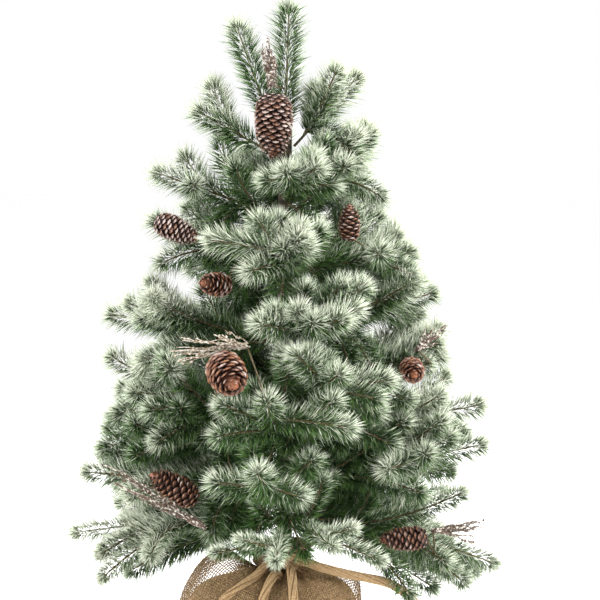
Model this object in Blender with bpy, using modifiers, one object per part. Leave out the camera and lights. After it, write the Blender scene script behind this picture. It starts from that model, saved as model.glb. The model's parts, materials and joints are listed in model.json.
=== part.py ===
"""A frosted tabletop tree with pine cones and twigs, standing in a burlap sack.

Metres, +Z up. The origin is the middle of the sack's underside, the trunk stands on it, and the
front of the tree faces -Y. Every branch is a stiff wire with needled tips, bent up or down by hand
where it leaves the trunk, so each branch object has its origin on that bend.
"""

import math

import bpy
import bmesh
from mathutils import Matrix, Vector

MM = 0.001
GAP = 0.3 * MM  # clearance kept between pieces that touch

# The whole tree. The tables of branches, cones and twigs below are drawn for the first pair of
# sizes, and are stretched to these two.
DRAWN_TOP = 606 * MM
DRAWN_REACH = 197 * MM
TREE_TOP = 606 * MM  # height of the leader's tip
TREE_REACH = 197 * MM  # reach of the widest branch
FOLIAGE_FOOT = 146 * MM  # height of the lowest branch's bend, which the sack sets
WIDER = TREE_REACH / DRAWN_REACH
TALLER = (TREE_TOP - FOLIAGE_FOOT) / (DRAWN_TOP - FOLIAGE_FOOT)

# Base: a cast weight in a plastic pot, inside the sack.
CLOTH = 1.6 * MM  # thickness of the gathered burlap
POT_HEIGHT = 78 * MM
POT_TOP_RADIUS = 57 * MM
POT_FOOT_RADIUS = 47 * MM
POT_WALL = 2.0 * MM
WEIGHT_HEIGHT = 56 * MM

# Sack: half outline from the raw edge of the frill down to the middle of the underside.
NECK_RADIUS = 17 * MM
NECK_HEIGHT = 116.5 * MM
SACK_RADIUS = 76 * MM
SACK_OUTLINE = [
    (NECK_RADIUS + 17 * MM, NECK_HEIGHT + 12.5 * MM),
    (NECK_RADIUS, NECK_HEIGHT + 6.5 * MM),
    (NECK_RADIUS - 0.5 * MM, NECK_HEIGHT - 6.5 * MM),
    (32 * MM, NECK_HEIGHT - 11.5 * MM),
    (SACK_RADIUS - 20 * MM, 97 * MM),
    (SACK_RADIUS - 7 * MM, 85 * MM),
    (SACK_RADIUS - 1 * MM, 66 * MM),
    (SACK_RADIUS, 45 * MM),
    (SACK_RADIUS - 4 * MM, 20 * MM),
    (SACK_RADIUS - 9 * MM, 4 * MM),
    (SACK_RADIUS - 16 * MM, 0),
    (0, 0),
]
SACK_BULGE_LEFT = 1.20  # the sack sags to its left side
SACK_TUCK_RIGHT = 0.87

# Trunk.
POLE_RADIUS = 4.0 * MM
DRAWN_POLE_TOP = 490 * MM
POLE_TOP = FOLIAGE_FOOT + (DRAWN_POLE_TOP - FOLIAGE_FOOT) * TALLER
TAPE_BOTTOM = FOLIAGE_FOOT - 14 * MM
TAPE_WALL = 1.7 * MM

# Jute rope that ties the sack's neck.
ROPE_RADIUS = 4.0 * MM
BAND_RADIUS = 4.5 * MM
KNOT_SIZE = (9 * MM, 7 * MM, 7 * MM)
KNOT_CENTRE = (0, -31.5 * MM, NECK_HEIGHT)

# Needled wires.
WIRE_RADIUS = 1.4 * MM  # the bare wire where a branch leaves the trunk
TIP_RADIUS = 4.0 * MM  # the firm core of a needled tip
BARE_LENGTH = 14 * MM
FORKS = (0.38, 0.55, 0.30)  # where the side tips leave the main wire, as shares of it
LEADER_LEAN = 4 * MM

# Each branch: height of its bend, how far its wire arches, then its tips, the leading one first.
# A tip's end is (bearing in degrees, reach, height); bearing 0 is +X and -90 is the front.
BRANCHES = {
    "branch_low_left": (150, 4, [(184, 197, 138), (216, 140, 127), (163, 150, 146)]),
    "branch_low_right": (153, 8, [(-5, 196, 108), (-22, 152, 118), (14, 150, 124)]),
    "branch_low_front_left": (143, 4, [(-93, 150, 131), (-122, 124, 136), (-110, 128, 152)]),
    "branch_low_front_right": (152, 2, [(-72, 144, 142), (-48, 132, 126), (-60, 128, 160)]),
    "branch_low_back_left": (147, 4, [(132, 178, 134), (112, 150, 126), (148, 140, 150)]),
    "branch_low_back_right": (151, 4, [(50, 178, 130), (70, 150, 124), (32, 146, 148)]),
    "branch_lower_left": (176, 0, [(189, 186, 196), (207, 150, 178), (173, 150, 186)]),
    "branch_lower_right": (
        181, 0, [(3, 186, 217), (-31, 141, 216), (-48, 122, 203), (20, 150, 190)]),
    "branch_lower_front": (178, -9, [(-99, 152, 213), (-122, 122, 196), (-80, 116, 182)]),
    "branch_lower_back_left": (174, 0, [(143, 170, 198), (122, 140, 184), (158, 130, 208)]),
    "branch_lower_back_right": (179, 0, [(62, 168, 196), (84, 142, 184), (44, 140, 206)]),
    "branch_mid_left": (213, 0, [(175, 167, 229), (211, 102, 257), (195, 135, 238)]),
    "branch_mid_right": (218, 0, [(-8, 183, 255), (-21, 146, 266), (10, 140, 248)]),
    "branch_mid_front": (215, -6, [(-97, 132, 272), (-121, 112, 262), (-62, 128, 240)]),
    "branch_mid_back_left": (211, 0, [(128, 158, 246), (108, 130, 238), (148, 130, 252)]),
    "branch_mid_back_right": (220, 0, [(70, 156, 250), (50, 135, 262), (89, 120, 262)]),
    "branch_waist_left": (252, 0, [(171, 158, 262), (186, 155, 296), (218, 118, 290)]),
    "branch_waist_right": (258, 0, [(4, 143, 306), (-15, 130, 288), (24, 130, 290)]),
    "branch_waist_front": (255, -4, [(-66, 124, 290), (-40, 122, 278), (-88, 108, 306)]),
    "branch_waist_back": (261, 0, [(100, 146, 292), (124, 130, 282), (78, 130, 300)]),
    "branch_upper_left": (304, 0, [(177, 164, 330), (191, 141, 342), (211, 127, 349)]),
    "branch_upper_right": (310, 0, [(0, 140, 351), (-14, 123, 365), (20, 118, 348)]),
    "branch_upper_front": (306, -3, [(-76, 114, 332), (-104, 109, 328), (-50, 104, 340)]),
    "branch_upper_back": (312, 0, [(96, 128, 342), (126, 118, 334), (66, 118, 350)]),
    "branch_high_left": (360, 0, [(184, 124, 415), (200, 116, 372), (160, 100, 398)]),
    "branch_high_right": (366, 0, [(-7, 121, 384), (12, 102, 406), (-38, 98, 384)]),
    "branch_high_front": (362, -3, [(-90, 86, 395), (-112, 94, 367), (-136, 96, 396)]),
    "branch_high_back": (369, 0, [(90, 104, 400), (122, 98, 392), (58, 96, 408)]),
    "branch_crown_left": (414, 0, [(181, 121, 455), (170, 92, 470), (204, 84, 440)]),
    "branch_crown_right": (418, 0, [(4, 76, 477), (-16, 91, 427), (30, 80, 448)]),
    "branch_crown_front": (420, 0, [(-76, 60, 458), (-44, 66, 440), (-112, 62, 444)]),
    "branch_crown_back": (423, 0, [(98, 82, 458), (130, 74, 452), (66, 74, 464)]),
    "shoot_shoulder": (466, 0, [(178, 84, 509), (166, 66, 533)]),
    "shoot_left": (480, 3, [(176, 46, 587)]),
    "shoot_right": (474, 0, [(0, 70, 542), (60, 50, 520)]),
}

# Each cone: the branch it is wired to (None for the leader), centre, direction from its stem end
# to its narrow end, length and radius.
CONES = {
    "cone_top": (None, (-9.5, -33, 489.5), (0, 0, -1), 60, 16.5),
    "cone_front": ("branch_mid_front", (-46, -112, 284), (0.3, -0.85, -0.4), 46, 16),
    "cone_low_left": ("branch_lower_left", (-95, -60, 186), (-0.86, -0.1, 0.5), 50, 12),
    "cone_low_right": ("branch_low_right", (100, -56, 141), (-1, 0, -0.05), 44, 10.5),
    "cone_right": ("branch_waist_right", (108, -62, 284), (0.1, -0.95, -0.2), 34, 11.5),
    "cone_high_left": ("branch_high_left", (-91, -30, 402), (0.9, -0.1, -0.4), 44, 11),
    "cone_inner_left": ("branch_high_left", (-60, -50, 357), (-0.6, -0.7, 0.1), 36, 10),
    "cone_inner_right": ("branch_high_right", (55, -38, 410), (0, -0.2, 1), 34, 9),
    "cone_back": ("branch_high_back", (-20, 88, 372.5), (-0.3, 0.85, -0.3), 42, 11.5),
}
CONE_WIRE_RADIUS = 0.9 * MM
# A cone's half outline, as (share of its radius, share of its length from the stem end).
CONE_OUTLINE = [(0, 1), (0.38, 0.97), (0.72, 0.8), (0.95, 0.55), (1, 0.35), (0.8, 0.12), (0.35, 0), (0, 0)]

# Each bundle of twigs: the branch it is wired to (None for the leader), its foot, and its twigs' ends.
TWIGS = {
    "twigs_top": (None, (-11, -30, 525), [(-19, -31, 556), (-14, -27, 563), (-9, -36, 552)]),
    "twigs_front": (
        "branch_mid_front",
        (-31, -96, 308),
        [(-95, -90, 303), (-84, -99, 313), (-88, -80, 295), (-58, -105, 318)],
    ),
    "twigs_low_left": (
        "branch_lower_left",
        (-66, -90, 156),
        [(-152, -92, 209), (-142, -97, 194), (-128, -91, 187), (-138, -88, 204)],
    ),
    "twigs_low_right": (
        "branch_low_right",
        (126, -53, 147),
        [(166, -46, 155), (169, -40, 148), (160, -52, 143)],
    ),
    "twigs_right": (
        "branch_waist_right",
        (112, -50, 302),
        [(137, -44, 322), (127, -52, 319), (134, -36, 313)],
    ),
}
TWIG_RADIUS = 1.3 * MM

# Free runs of the jute rope, as points chosen along each.
ROPES = {
    "jute_loop": [
        (-4, -38.5, 106.5),
        (-9, -50, 108.5),
        (-16, -63, 97),
        (-21, -74, 82),
        (-28, -77.5, 66),
        (-38, -76.5, 54),
        (-50, -72, 50),
        (-60, -65, 57),
        (-62, -61, 72),
        (-53, -58, 88),
        (-39, -54, 98.5),
        (-25, -46, 107),
        (-17, -39, 115),
        (-10.5, -35, 119),
    ],
    "jute_tail_long": [
        (9.6, -33, 118),
        (19, -39, 118),
        (34, -46, 114),
        (52, -49, 110),
        (72, -49, 106),
        (92, -48, 100),
        (108, -47, 88),
        (117, -47, 73),
        (122, -48, 56),
        (125, -50, 38),
        (129, -53, 20),
        (138, -57, 8),
        (150, -63, 4.6),
        (163, -68, 4.6),
    ],
    "jute_tail_short": [
        (5, -39, 113),
        (6, -52, 109),
        (7, -64, 100),
        (8, -74, 88),
        (9.5, -80, 74),
        (11, -81.5, 60),
    ],
}

COLOURS = {
    "cement": ((0.55, 0.54, 0.52), 0.9, 0.0),
    "pot": ((0.05, 0.05, 0.05), 0.5, 0.0),
    "steel": ((0.30, 0.28, 0.25), 0.4, 0.9),
    "tape": ((0.12, 0.09, 0.05), 0.7, 0.0),
    "burlap": ((0.52, 0.37, 0.21), 0.95, 0.0),
    "jute": ((0.60, 0.43, 0.24), 0.9, 0.0),
    "needles": ((0.30, 0.42, 0.30), 0.7, 0.0),
    "cone": ((0.20, 0.09, 0.05), 0.8, 0.0),
    "twig": ((0.45, 0.38, 0.32), 0.9, 0.0),
}


def clear_scene():
    for obj in list(bpy.data.objects):
        bpy.data.objects.remove(obj, do_unlink=True)


def make_material(name):
    colour, roughness, metallic = COLOURS[name]
    material = bpy.data.materials.new(name)
    material.use_nodes = True
    shader = material.node_tree.nodes["Principled BSDF"]
    shader.inputs["Base Color"].default_value = (*colour, 1)
    shader.inputs["Roughness"].default_value = roughness
    shader.inputs["Metallic"].default_value = metallic
    return material


def add_object(name, data, collection):
    obj = bpy.data.objects.new(name, data)
    collection.objects.link(obj)
    return obj


def evaluated_mesh(obj):
    """The object's own mesh with its modifiers applied, and its doubled points merged."""
    graph = bpy.context.evaluated_depsgraph_get()
    mesh = bpy.data.meshes.new_from_object(obj.evaluated_get(graph))
    cage = bmesh.new()
    cage.from_mesh(mesh)
    bmesh.ops.remove_doubles(cage, verts=cage.verts, dist=0.002 * MM)
    cage.to_mesh(mesh)
    cage.free()
    return mesh


def replace_mesh(obj, mesh):
    obj.modifiers.clear()
    obj.data = mesh


def turned(name, outline, collection, steps, closed=False):
    """A solid turned about Z from a half outline of (radius, height) that runs down its outer side."""
    mesh = bpy.data.meshes.new(name)
    points = [(radius, 0, height) for radius, height in outline]
    edges = [(i, i + 1) for i in range(len(points) - 1)]
    if closed:
        edges.append((len(points) - 1, 0))
    mesh.from_pydata(points, edges, [])
    obj = add_object(name, mesh, collection)
    screw = obj.modifiers.new("turn", "SCREW")
    screw.steps = steps
    screw.render_steps = steps
    screw.use_merge_vertices = True
    screw.merge_threshold = 0.01 * MM
    return obj


def smooth_points(points, per_span):
    """Points on a Catmull-Rom curve through the given points."""
    ends = [points[0] * 2 - points[1], *points, points[-1] * 2 - points[-2]]
    out = []
    for a, b, c, d in zip(ends, ends[1:], ends[2:], ends[3:]):
        for i in range(per_span):
            t = i / per_span
            out.append(
                0.5 * (2 * b + (c - a) * t + (2 * a - 5 * b + 4 * c - d) * t * t
                       + (3 * b - a - 3 * c + d) * t ** 3)
            )
    return [*out, points[-1]]


def tube(name, points, radii, collection, rings=1):
    """A mesh tube through points, with its own radius at each one; rings=1 gives six sides."""
    curve = bpy.data.curves.new(name, "CURVE")
    curve.dimensions = "3D"
    curve.bevel_depth = 1.0
    curve.bevel_resolution = rings
    curve.use_fill_caps = True
    spline = curve.splines.new("POLY")
    spline.points.add(len(points) - 1)
    for knot, point, radius in zip(spline.points, points, radii):
        knot.co = (*point, 1)
        knot.radius = radius
    guide = add_object(name + "_guide", curve, collection)
    mesh = evaluated_mesh(guide)
    bpy.data.objects.remove(guide, do_unlink=True)
    bpy.data.curves.remove(curve)
    mesh.name = name
    return add_object(name, mesh, collection)


def join_solids(body, others):
    """Unites overlapping solids into one closed body and removes the ones it took in."""
    for other in others:
        union = body.modifiers.new("unite", "BOOLEAN")
        union.operation = "UNION"
        union.object = other
        mesh = evaluated_mesh(body)
        replace_mesh(body, mesh)
        bpy.data.objects.remove(other, do_unlink=True)
    return body


def shade(obj, material, smooth=True):
    obj.data.materials.clear()
    obj.data.materials.append(material)
    if smooth:
        obj.data.shade_smooth()
        obj.data.set_sharp_from_angle(angle=math.radians(50))


def move_origin(obj, place):
    """Puts the object's origin at a place without moving its surface."""
    obj.data.transform(Matrix.Translation(-place))
    obj.location = place


# Needled branches


def stretched(x, y, z):
    """A point of the tables, in millimetres, stretched to the tree's height and reach."""
    return Vector((x * MM * WIDER, y * MM * WIDER, FOLIAGE_FOOT + (z * MM - FOLIAGE_FOOT) * TALLER))


def at_bearing(bearing, reach, height):
    angle = math.radians(bearing)
    return stretched(reach * math.cos(angle), reach * math.sin(angle), height)


def bend_of(name):
    """Where a branch bends: clear of the tape, and further out the more steeply it rises."""
    bend_height, arch, tips = BRANCHES[name]
    bearing, reach, height = tips[0]
    rise = height - bend_height
    steepness = abs(rise) / math.hypot(rise, reach)
    out = POLE_RADIUS + GAP + TAPE_WALL + 3 * GAP + WIRE_RADIUS * steepness
    bend = at_bearing(bearing, 1, bend_height)
    return Vector((*(bend.xy.normalized() * out), bend.z))


def main_line(name, spans):
    """The main wire of a branch, from its bend to its leading tip."""
    bend_height, arch, tips = BRANCHES[name]
    start = bend_of(name)
    end = at_bearing(*tips[0])
    rise = Vector((0, 0, 4 * arch * MM))
    return [start.lerp(end, i / spans) + rise * (i / spans) * (1 - i / spans) for i in range(spans + 1)]


def side_line(name, index, spans):
    """A side tip's wire: it leaves the main wire along it and turns out to its own end."""
    bend_height, arch, tips = BRANCHES[name]
    fine = main_line(name, 100)
    fork = round(FORKS[index] * 100)
    start = fine[fork]
    along = (fine[fork + 1] - start).normalized()
    end = at_bearing(*tips[index + 1])
    handle = start + along * 0.35 * (end - start).length
    return [
        start * (1 - t) ** 2 + handle * 2 * t * (1 - t) + end * t * t
        for t in (i / spans for i in range(spans + 1))
    ]


def tip_radii(points, first):
    """Radii along a tip: from its foot out to the needled core, and drawn in at its end."""
    radii = [TIP_RADIUS] * len(points)
    radii[0] = first
    radii[-1] = TIP_RADIUS * 0.45
    return radii


def rounded_end(points):
    """The points again, with one more just before the end, so that the end draws in over it."""
    back = (points[-2] - points[-1]).normalized() * TIP_RADIUS
    return [*points[:-1], points[-1] + back, points[-1]]


def make_branch(name, collection, material):
    line = main_line(name, 4)
    bare = line[0] + (line[1] - line[0]).normalized() * BARE_LENGTH
    points = rounded_end([line[0], bare, *line[1:]])
    radii = tip_radii(points, WIRE_RADIUS)
    radii[1] = WIRE_RADIUS
    body = tube(name, points, radii, collection)
    sides = []
    for index in range(len(BRANCHES[name][2]) - 1):
        points = rounded_end(side_line(name, index, 4))
        sides.append(tube(f"{name}_side_{index}", points, tip_radii(points, TIP_RADIUS * 0.6), collection))
    join_solids(body, sides)
    shade(body, material)
    move_origin(body, line[0])
    return body


def make_leader(collection, material):
    start = Vector((0, 0, POLE_TOP + GAP))
    end = Vector((LEADER_LEAN, 0, TREE_TOP))
    points = rounded_end([start.lerp(end, share) for share in (0, 0.15, 0.6, 1)])
    body = tube("leader", points, tip_radii(points, WIRE_RADIUS * 1.5), collection)
    shade(body, material)
    move_origin(body, start)
    return body


# Cones and twigs


def nearest_on_branch(name, place):
    """The point of a branch's wires that is nearest to a place, or of the leader's axis for None."""
    if name is None:
        return Vector((0, 0, place.z))
    lines = [main_line(name, 200)[30:]]
    lines += [side_line(name, index, 200) for index in range(len(BRANCHES[name][2]) - 1)]
    return min((point for line in lines for point in line), key=lambda point: (point - place).length)


def wire_end(name, place):
    """Where a fixing wire from a place stops, a gap short of the core that it is tied to."""
    target = nearest_on_branch(name, place)
    return target + (place - target).normalized() * (TIP_RADIUS + 2 * GAP)


def make_cone(name, collection, material):
    branch, centre, direction, length, radius = CONES[name]
    outline = [(share * radius * MM, (along - 0.5) * length * MM) for share, along in CONE_OUTLINE]
    body = turned(name, outline, collection, steps=10)
    replace_mesh(body, evaluated_mesh(body))
    axis = Vector(direction).normalized()
    place = stretched(*centre)
    turn = Vector((0, 0, 1)).rotation_difference(axis).to_matrix().to_4x4()
    body.data.transform(Matrix.Translation(place) @ turn)
    stem = place - axis * (length * 0.5 - 5) * MM
    foot = wire_end(branch, stem)
    wire = tube(name + "_wire", [foot, stem], [CONE_WIRE_RADIUS] * 2, collection)
    join_solids(body, [wire])
    shade(body, material)
    return body


def make_twigs(name, collection, material):
    branch, foot, ends = TWIGS[name]
    foot = stretched(*foot)
    first = wire_end(branch, foot)
    body = tube(name, [first, foot], [TWIG_RADIUS * 0.8, TWIG_RADIUS * 1.6], collection)
    others = []
    for index, end in enumerate(ends):
        end = stretched(*end)
        back = (foot - end).normalized() * TWIG_RADIUS
        middle = foot.lerp(end, 0.5) + Vector((0, 0, 2 * MM if index % 2 else -1 * MM))
        points = [foot + back, middle, end]
        radii = [TWIG_RADIUS, TWIG_RADIUS * 0.9, TWIG_RADIUS * 0.5]
        others.append(tube(f"{name}_{index}", points, radii, collection))
    join_solids(body, others)
    shade(body, material)
    return body


# Base, sack, trunk and rope


def lean_sack(point):
    """Sags a point of the round sack to its left side and tucks its right side in."""
    point.x *= SACK_BULGE_LEFT if point.x < 0 else SACK_TUCK_RIGHT


def make_pot(collection, material):
    low = CLOTH + GAP
    outline = [
        (0, low + POT_WALL),
        (POT_FOOT_RADIUS - POT_WALL, low + POT_WALL),
        (POT_TOP_RADIUS - POT_WALL, low + POT_HEIGHT),
        (POT_TOP_RADIUS, low + POT_HEIGHT),
        (POT_FOOT_RADIUS, low),
        (0, low),
    ]
    pot = turned("base_pot", outline, collection, steps=32)
    replace_mesh(pot, evaluated_mesh(pot))
    shade(pot, material)


def pot_inside(height):
    """The pot's inside radius at a height above its foot."""
    share = height / POT_HEIGHT
    return POT_FOOT_RADIUS + (POT_TOP_RADIUS - POT_FOOT_RADIUS) * share - POT_WALL


def make_weight(collection, material):
    low = CLOTH + GAP + POT_WALL + GAP
    bore = POLE_RADIUS + GAP
    outline = [
        (bore, low + WEIGHT_HEIGHT),
        (pot_inside(WEIGHT_HEIGHT) - 2 * GAP, low + WEIGHT_HEIGHT),
        (pot_inside(0) - 2 * GAP, low),
        (bore, low),
    ]
    weight = turned("base_weight", outline, collection, steps=32, closed=True)
    replace_mesh(weight, evaluated_mesh(weight))
    shade(weight, material)


def make_pole(collection, material):
    low = CLOTH + POT_WALL + 3 * GAP
    mesh = bpy.data.meshes.new("trunk_pole")
    cage = bmesh.new()
    centre = Matrix.Translation((0, 0, (low + POLE_TOP) / 2))
    bmesh.ops.create_cone(
        cage, cap_ends=True, segments=16, radius1=POLE_RADIUS, radius2=POLE_RADIUS,
        depth=POLE_TOP - low, matrix=centre,
    )
    cage.to_mesh(mesh)
    cage.free()
    shade(add_object("trunk_pole", mesh, collection), material)


def make_tape(collection, material):
    inside = POLE_RADIUS + GAP
    outside = inside + TAPE_WALL
    top = POLE_TOP - 2 * MM
    outline = [(inside, top), (outside, top), (outside, TAPE_BOTTOM), (inside, TAPE_BOTTOM)]
    tape = turned("trunk_tape", outline, collection, steps=16, closed=True)
    replace_mesh(tape, evaluated_mesh(tape))
    shade(tape, material)


def make_sack(collection, material):
    sack = turned("burlap_wrap", SACK_OUTLINE, collection, steps=28)
    wall = sack.modifiers.new("cloth", "SOLIDIFY")
    wall.thickness = CLOTH
    wall.offset = -1
    wall.use_even_offset = True
    replace_mesh(sack, evaluated_mesh(sack))
    for vertex in sack.data.vertices:
        lean_sack(vertex.co)
    shade(sack, material)


def make_band(collection, material):
    bpy.ops.mesh.primitive_torus_add(
        major_radius=NECK_RADIUS + GAP + BAND_RADIUS, minor_radius=BAND_RADIUS,
        major_segments=24, minor_segments=8, location=(0, 0, 0),
    )
    band = bpy.context.object
    band.name = "jute_band"
    for owner in list(band.users_collection):
        owner.objects.unlink(band)
    collection.objects.link(band)
    band.data.transform(Matrix.Translation((0, 0, NECK_HEIGHT)))
    for vertex in band.data.vertices:
        lean_sack(vertex.co)
    mesh = bpy.data.meshes.new("knot")
    cage = bmesh.new()
    place = Matrix.Translation(KNOT_CENTRE) @ Matrix.Diagonal((*KNOT_SIZE, 1))
    bmesh.ops.create_uvsphere(cage, u_segments=12, v_segments=8, radius=1, matrix=place)
    cage.to_mesh(mesh)
    cage.free()
    join_solids(band, [add_object("knot", mesh, collection)])
    shade(band, material)


def make_rope(name, collection, material):
    points = smooth_points([Vector(point) * MM for point in ROPES[name]], 2)
    rope = tube(name, points, [ROPE_RADIUS] * len(points), collection, rings=2)
    shade(rope, material)


def main():
    clear_scene()
    tree = bpy.data.collections.new("tabletop_tree")
    bpy.context.scene.collection.children.link(tree)
    finish = {name: make_material(name) for name in COLOURS}
    make_pot(tree, finish["pot"])
    make_weight(tree, finish["cement"])
    make_pole(tree, finish["steel"])
    make_tape(tree, finish["tape"])
    make_sack(tree, finish["burlap"])
    make_band(tree, finish["jute"])
    for name in ROPES:
        make_rope(name, tree, finish["jute"])
    for name in BRANCHES:
        make_branch(name, tree, finish["needles"])
    make_leader(tree, finish["needles"])
    for name in CONES:
        make_cone(name, tree, finish["cone"])
    for name in TWIGS:
        make_twigs(name, tree, finish["twig"])


main()
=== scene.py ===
# %% [markdown]
# # A frosted tabletop tree in a burlap sack
#
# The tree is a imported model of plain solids: a trunk, the cores of its branches, cones, twigs, a
# sack and a rope. This script dresses those solids with needles, cone scales, threads and fibres.
# It starts by loading them as a fixed frame, so each piece made here goes where the frame says.

# %% Load the frame
import json
import math

import bpy
import numpy as np
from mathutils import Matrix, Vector


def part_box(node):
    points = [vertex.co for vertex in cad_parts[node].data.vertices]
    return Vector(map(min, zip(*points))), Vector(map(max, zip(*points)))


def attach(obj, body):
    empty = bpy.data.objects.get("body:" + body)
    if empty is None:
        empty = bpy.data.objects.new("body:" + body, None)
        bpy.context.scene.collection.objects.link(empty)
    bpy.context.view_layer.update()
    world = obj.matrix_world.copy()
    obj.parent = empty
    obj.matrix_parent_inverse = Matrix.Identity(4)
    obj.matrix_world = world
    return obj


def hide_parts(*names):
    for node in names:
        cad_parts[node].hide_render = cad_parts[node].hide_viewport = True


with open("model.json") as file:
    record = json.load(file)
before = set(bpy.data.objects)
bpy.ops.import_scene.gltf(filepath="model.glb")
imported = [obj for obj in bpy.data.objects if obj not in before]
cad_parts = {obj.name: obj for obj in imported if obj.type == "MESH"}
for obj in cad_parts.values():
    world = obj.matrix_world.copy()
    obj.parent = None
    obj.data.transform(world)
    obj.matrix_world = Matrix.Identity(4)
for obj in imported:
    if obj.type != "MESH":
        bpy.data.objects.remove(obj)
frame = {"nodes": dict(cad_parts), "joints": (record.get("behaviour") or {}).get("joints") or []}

MM = 0.001
GOLDEN_ANGLE = math.radians(137.5)
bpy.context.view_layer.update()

# %% [markdown]
# ## Camera, floor and light
#
# Such a tree is shown from the front, from far away with a long lens, so that its near and far
# branches keep their real sizes. The lens is chosen so that the picture is about half a metre wide
# at the trunk, which cuts off the sack's lower half.

# %% Camera
VIEW_WIDTH = 520 * MM
SENSOR_WIDTH = 36
CAMERA_DISTANCE = 2.2
CAMERA_LIFT = math.radians(3)
LOOK_AT = Vector((13 * MM, 0, 341 * MM))

scene = bpy.context.scene
camera_data = bpy.data.cameras.new("camera")
camera_data.sensor_width = SENSOR_WIDTH
camera_data.lens = SENSOR_WIDTH * CAMERA_DISTANCE / VIEW_WIDTH
camera = bpy.data.objects.new("camera", camera_data)
scene.collection.objects.link(camera)
back = Vector((0, -math.cos(CAMERA_LIFT), math.sin(CAMERA_LIFT)))
camera.location = LOOK_AT + back * CAMERA_DISTANCE
camera.rotation_euler = (-back).to_track_quat("-Z", "Y").to_euler()
scene.camera = camera
print("lens:", round(camera_data.lens), "mm")

# %% [markdown]
# A white world lights the tree evenly from all round, as a studio tent does. Three wide area lamps
# add a soft direction, from above left, above right and behind, so that the tufts have a light and
# a dark side. The Standard view keeps the white floor and backdrop white, where Filmic or AgX would
# make them grey.

# %% Materials and selections


def shader_material(name, roughness=0.6):
    """An empty material: its node tree, its Principled shader, and the material itself."""
    material = bpy.data.materials.new(name)
    material.use_nodes = True
    tree = material.node_tree
    shader = tree.nodes["Principled BSDF"]
    shader.inputs["Roughness"].default_value = roughness
    return tree, shader, material


def deselect_all():
    """Leaves edit mode and selects nothing, so that the next operator acts on its own piece only."""
    if bpy.context.mode != "OBJECT":
        bpy.ops.object.mode_set(mode="OBJECT")
    bpy.ops.object.select_all(action="DESELECT")


def select_points(piece, chosen):
    """Leaves edit mode selecting just the points that the rule picks, and goes back to it."""
    bpy.ops.object.mode_set(mode="EDIT")
    bpy.ops.mesh.select_mode(type="VERT")
    bpy.ops.mesh.select_all(action="DESELECT")
    bpy.ops.object.mode_set(mode="OBJECT")
    for point in piece.data.vertices:
        point.select = chosen(point.co)
    bpy.ops.object.mode_set(mode="EDIT")


# %% Floor and light
FLOOR_RADIUS = 40
FLOOR_DROP = 0.4 * MM
# Each lamp: its place and its size in metres, and its power in watts.
LAMPS = [
    ((-1.8, -0.6, 1.2), 1.0, 44),
    ((1.8, -0.6, 1.6), 1.2, 80),
    ((0.4, 1.6, 1.7), 1.4, 40),
]
deselect_all()
bpy.ops.mesh.primitive_circle_add(
    vertices=96, radius=FLOOR_RADIUS, fill_type="NGON", location=(0, 0, -FLOOR_DROP))
floor = bpy.context.object
floor.name = "floor"
_, floor_shader, floor_material = shader_material("floor", roughness=0.9)
floor_shader.inputs["Base Color"].default_value = (1, 1, 1, 1)
floor.data.materials.append(floor_material)

world = bpy.data.worlds.new("studio")
scene.world = world
world.use_nodes = True
world.node_tree.nodes["Background"].inputs["Color"].default_value = (1, 1, 1, 1)
world.node_tree.nodes["Background"].inputs["Strength"].default_value = 1.0
scene.view_settings.view_transform = "Standard"

for number, (place, size, watts) in enumerate(LAMPS):
    lamp_data = bpy.data.lights.new(f"lamp_{number}", "AREA")
    lamp_data.size = size
    lamp_data.energy = watts
    lamp = bpy.data.objects.new(f"lamp_{number}", lamp_data)
    lamp.location = place
    lamp.rotation_euler = (Vector(place) - LOOK_AT).to_track_quat("Z", "Y").to_euler()
    scene.collection.objects.link(lamp)
print("lamps:", len(LAMPS), "and a white world")

# %% [markdown]
# ## Helpers for shapes that repeat
#
# A branch has thousands of needles and a rope has fifteen strands. Each is modelled once and
# copied into place with numpy, because an operator for each copy would take hours. A sheaf
# collects such copies, and turns them into one mesh with one UV map.

# %% Sheaf


class Sheaf:
    """Copies of small shapes, gathered into one mesh."""

    def __init__(self):
        self.points = []
        self.faces = []
        self.maps = []
        self.slots = []
        self.count = 0

    def add(self, points, faces, maps, slot=0):
        """Adds points (n, 3), faces (m, corners) of their numbers and maps (m, corners, 2)."""
        self.points.append(np.asarray(points, float))
        self.faces.append(np.asarray(faces) + self.count)
        self.maps.append(np.asarray(maps, float))
        self.slots.append(slot)
        self.count += len(points)

    def lift_above(self, height):
        """Pushes whatever is lower than a height up to it, as a table does to loose fibres."""
        self.points = [np.maximum(points, (-np.inf, -np.inf, height)) for points in self.points]

    def mesh_object(self, name, map_name, materials):
        """The gathered shapes as one object. Its faces' slots number the given materials."""
        sizes = np.concatenate([np.full(len(faces), faces.shape[1]) for faces in self.faces])
        slots = np.concatenate([np.full(len(f), s) for f, s in zip(self.faces, self.slots)])
        mesh = bpy.data.meshes.new(name)
        mesh.vertices.add(self.count)
        mesh.vertices.foreach_set("co", np.concatenate(self.points).ravel())
        mesh.loops.add(int(sizes.sum()))
        mesh.loops.foreach_set("vertex_index", np.concatenate([f.ravel() for f in self.faces]))
        mesh.polygons.add(len(sizes))
        mesh.polygons.foreach_set("loop_start", np.cumsum(sizes) - sizes)
        mesh.polygons.foreach_set("material_index", slots)
        mesh.polygons.foreach_set("use_smooth", np.ones(len(sizes), bool))
        mesh.update(calc_edges=True)
        layer = mesh.uv_layers.new(name=map_name)
        layer.data.foreach_set("uv", np.concatenate([m.reshape(-1) for m in self.maps]))
        mesh.validate()
        piece = bpy.data.objects.new(name, mesh)
        scene.collection.objects.link(piece)
        for material in materials:
            mesh.materials.append(material)
        return piece


def unit(vectors):
    """The same directions, each one long."""
    return vectors / np.maximum(np.linalg.norm(vectors, axis=-1, keepdims=True), 1e-12)


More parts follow.
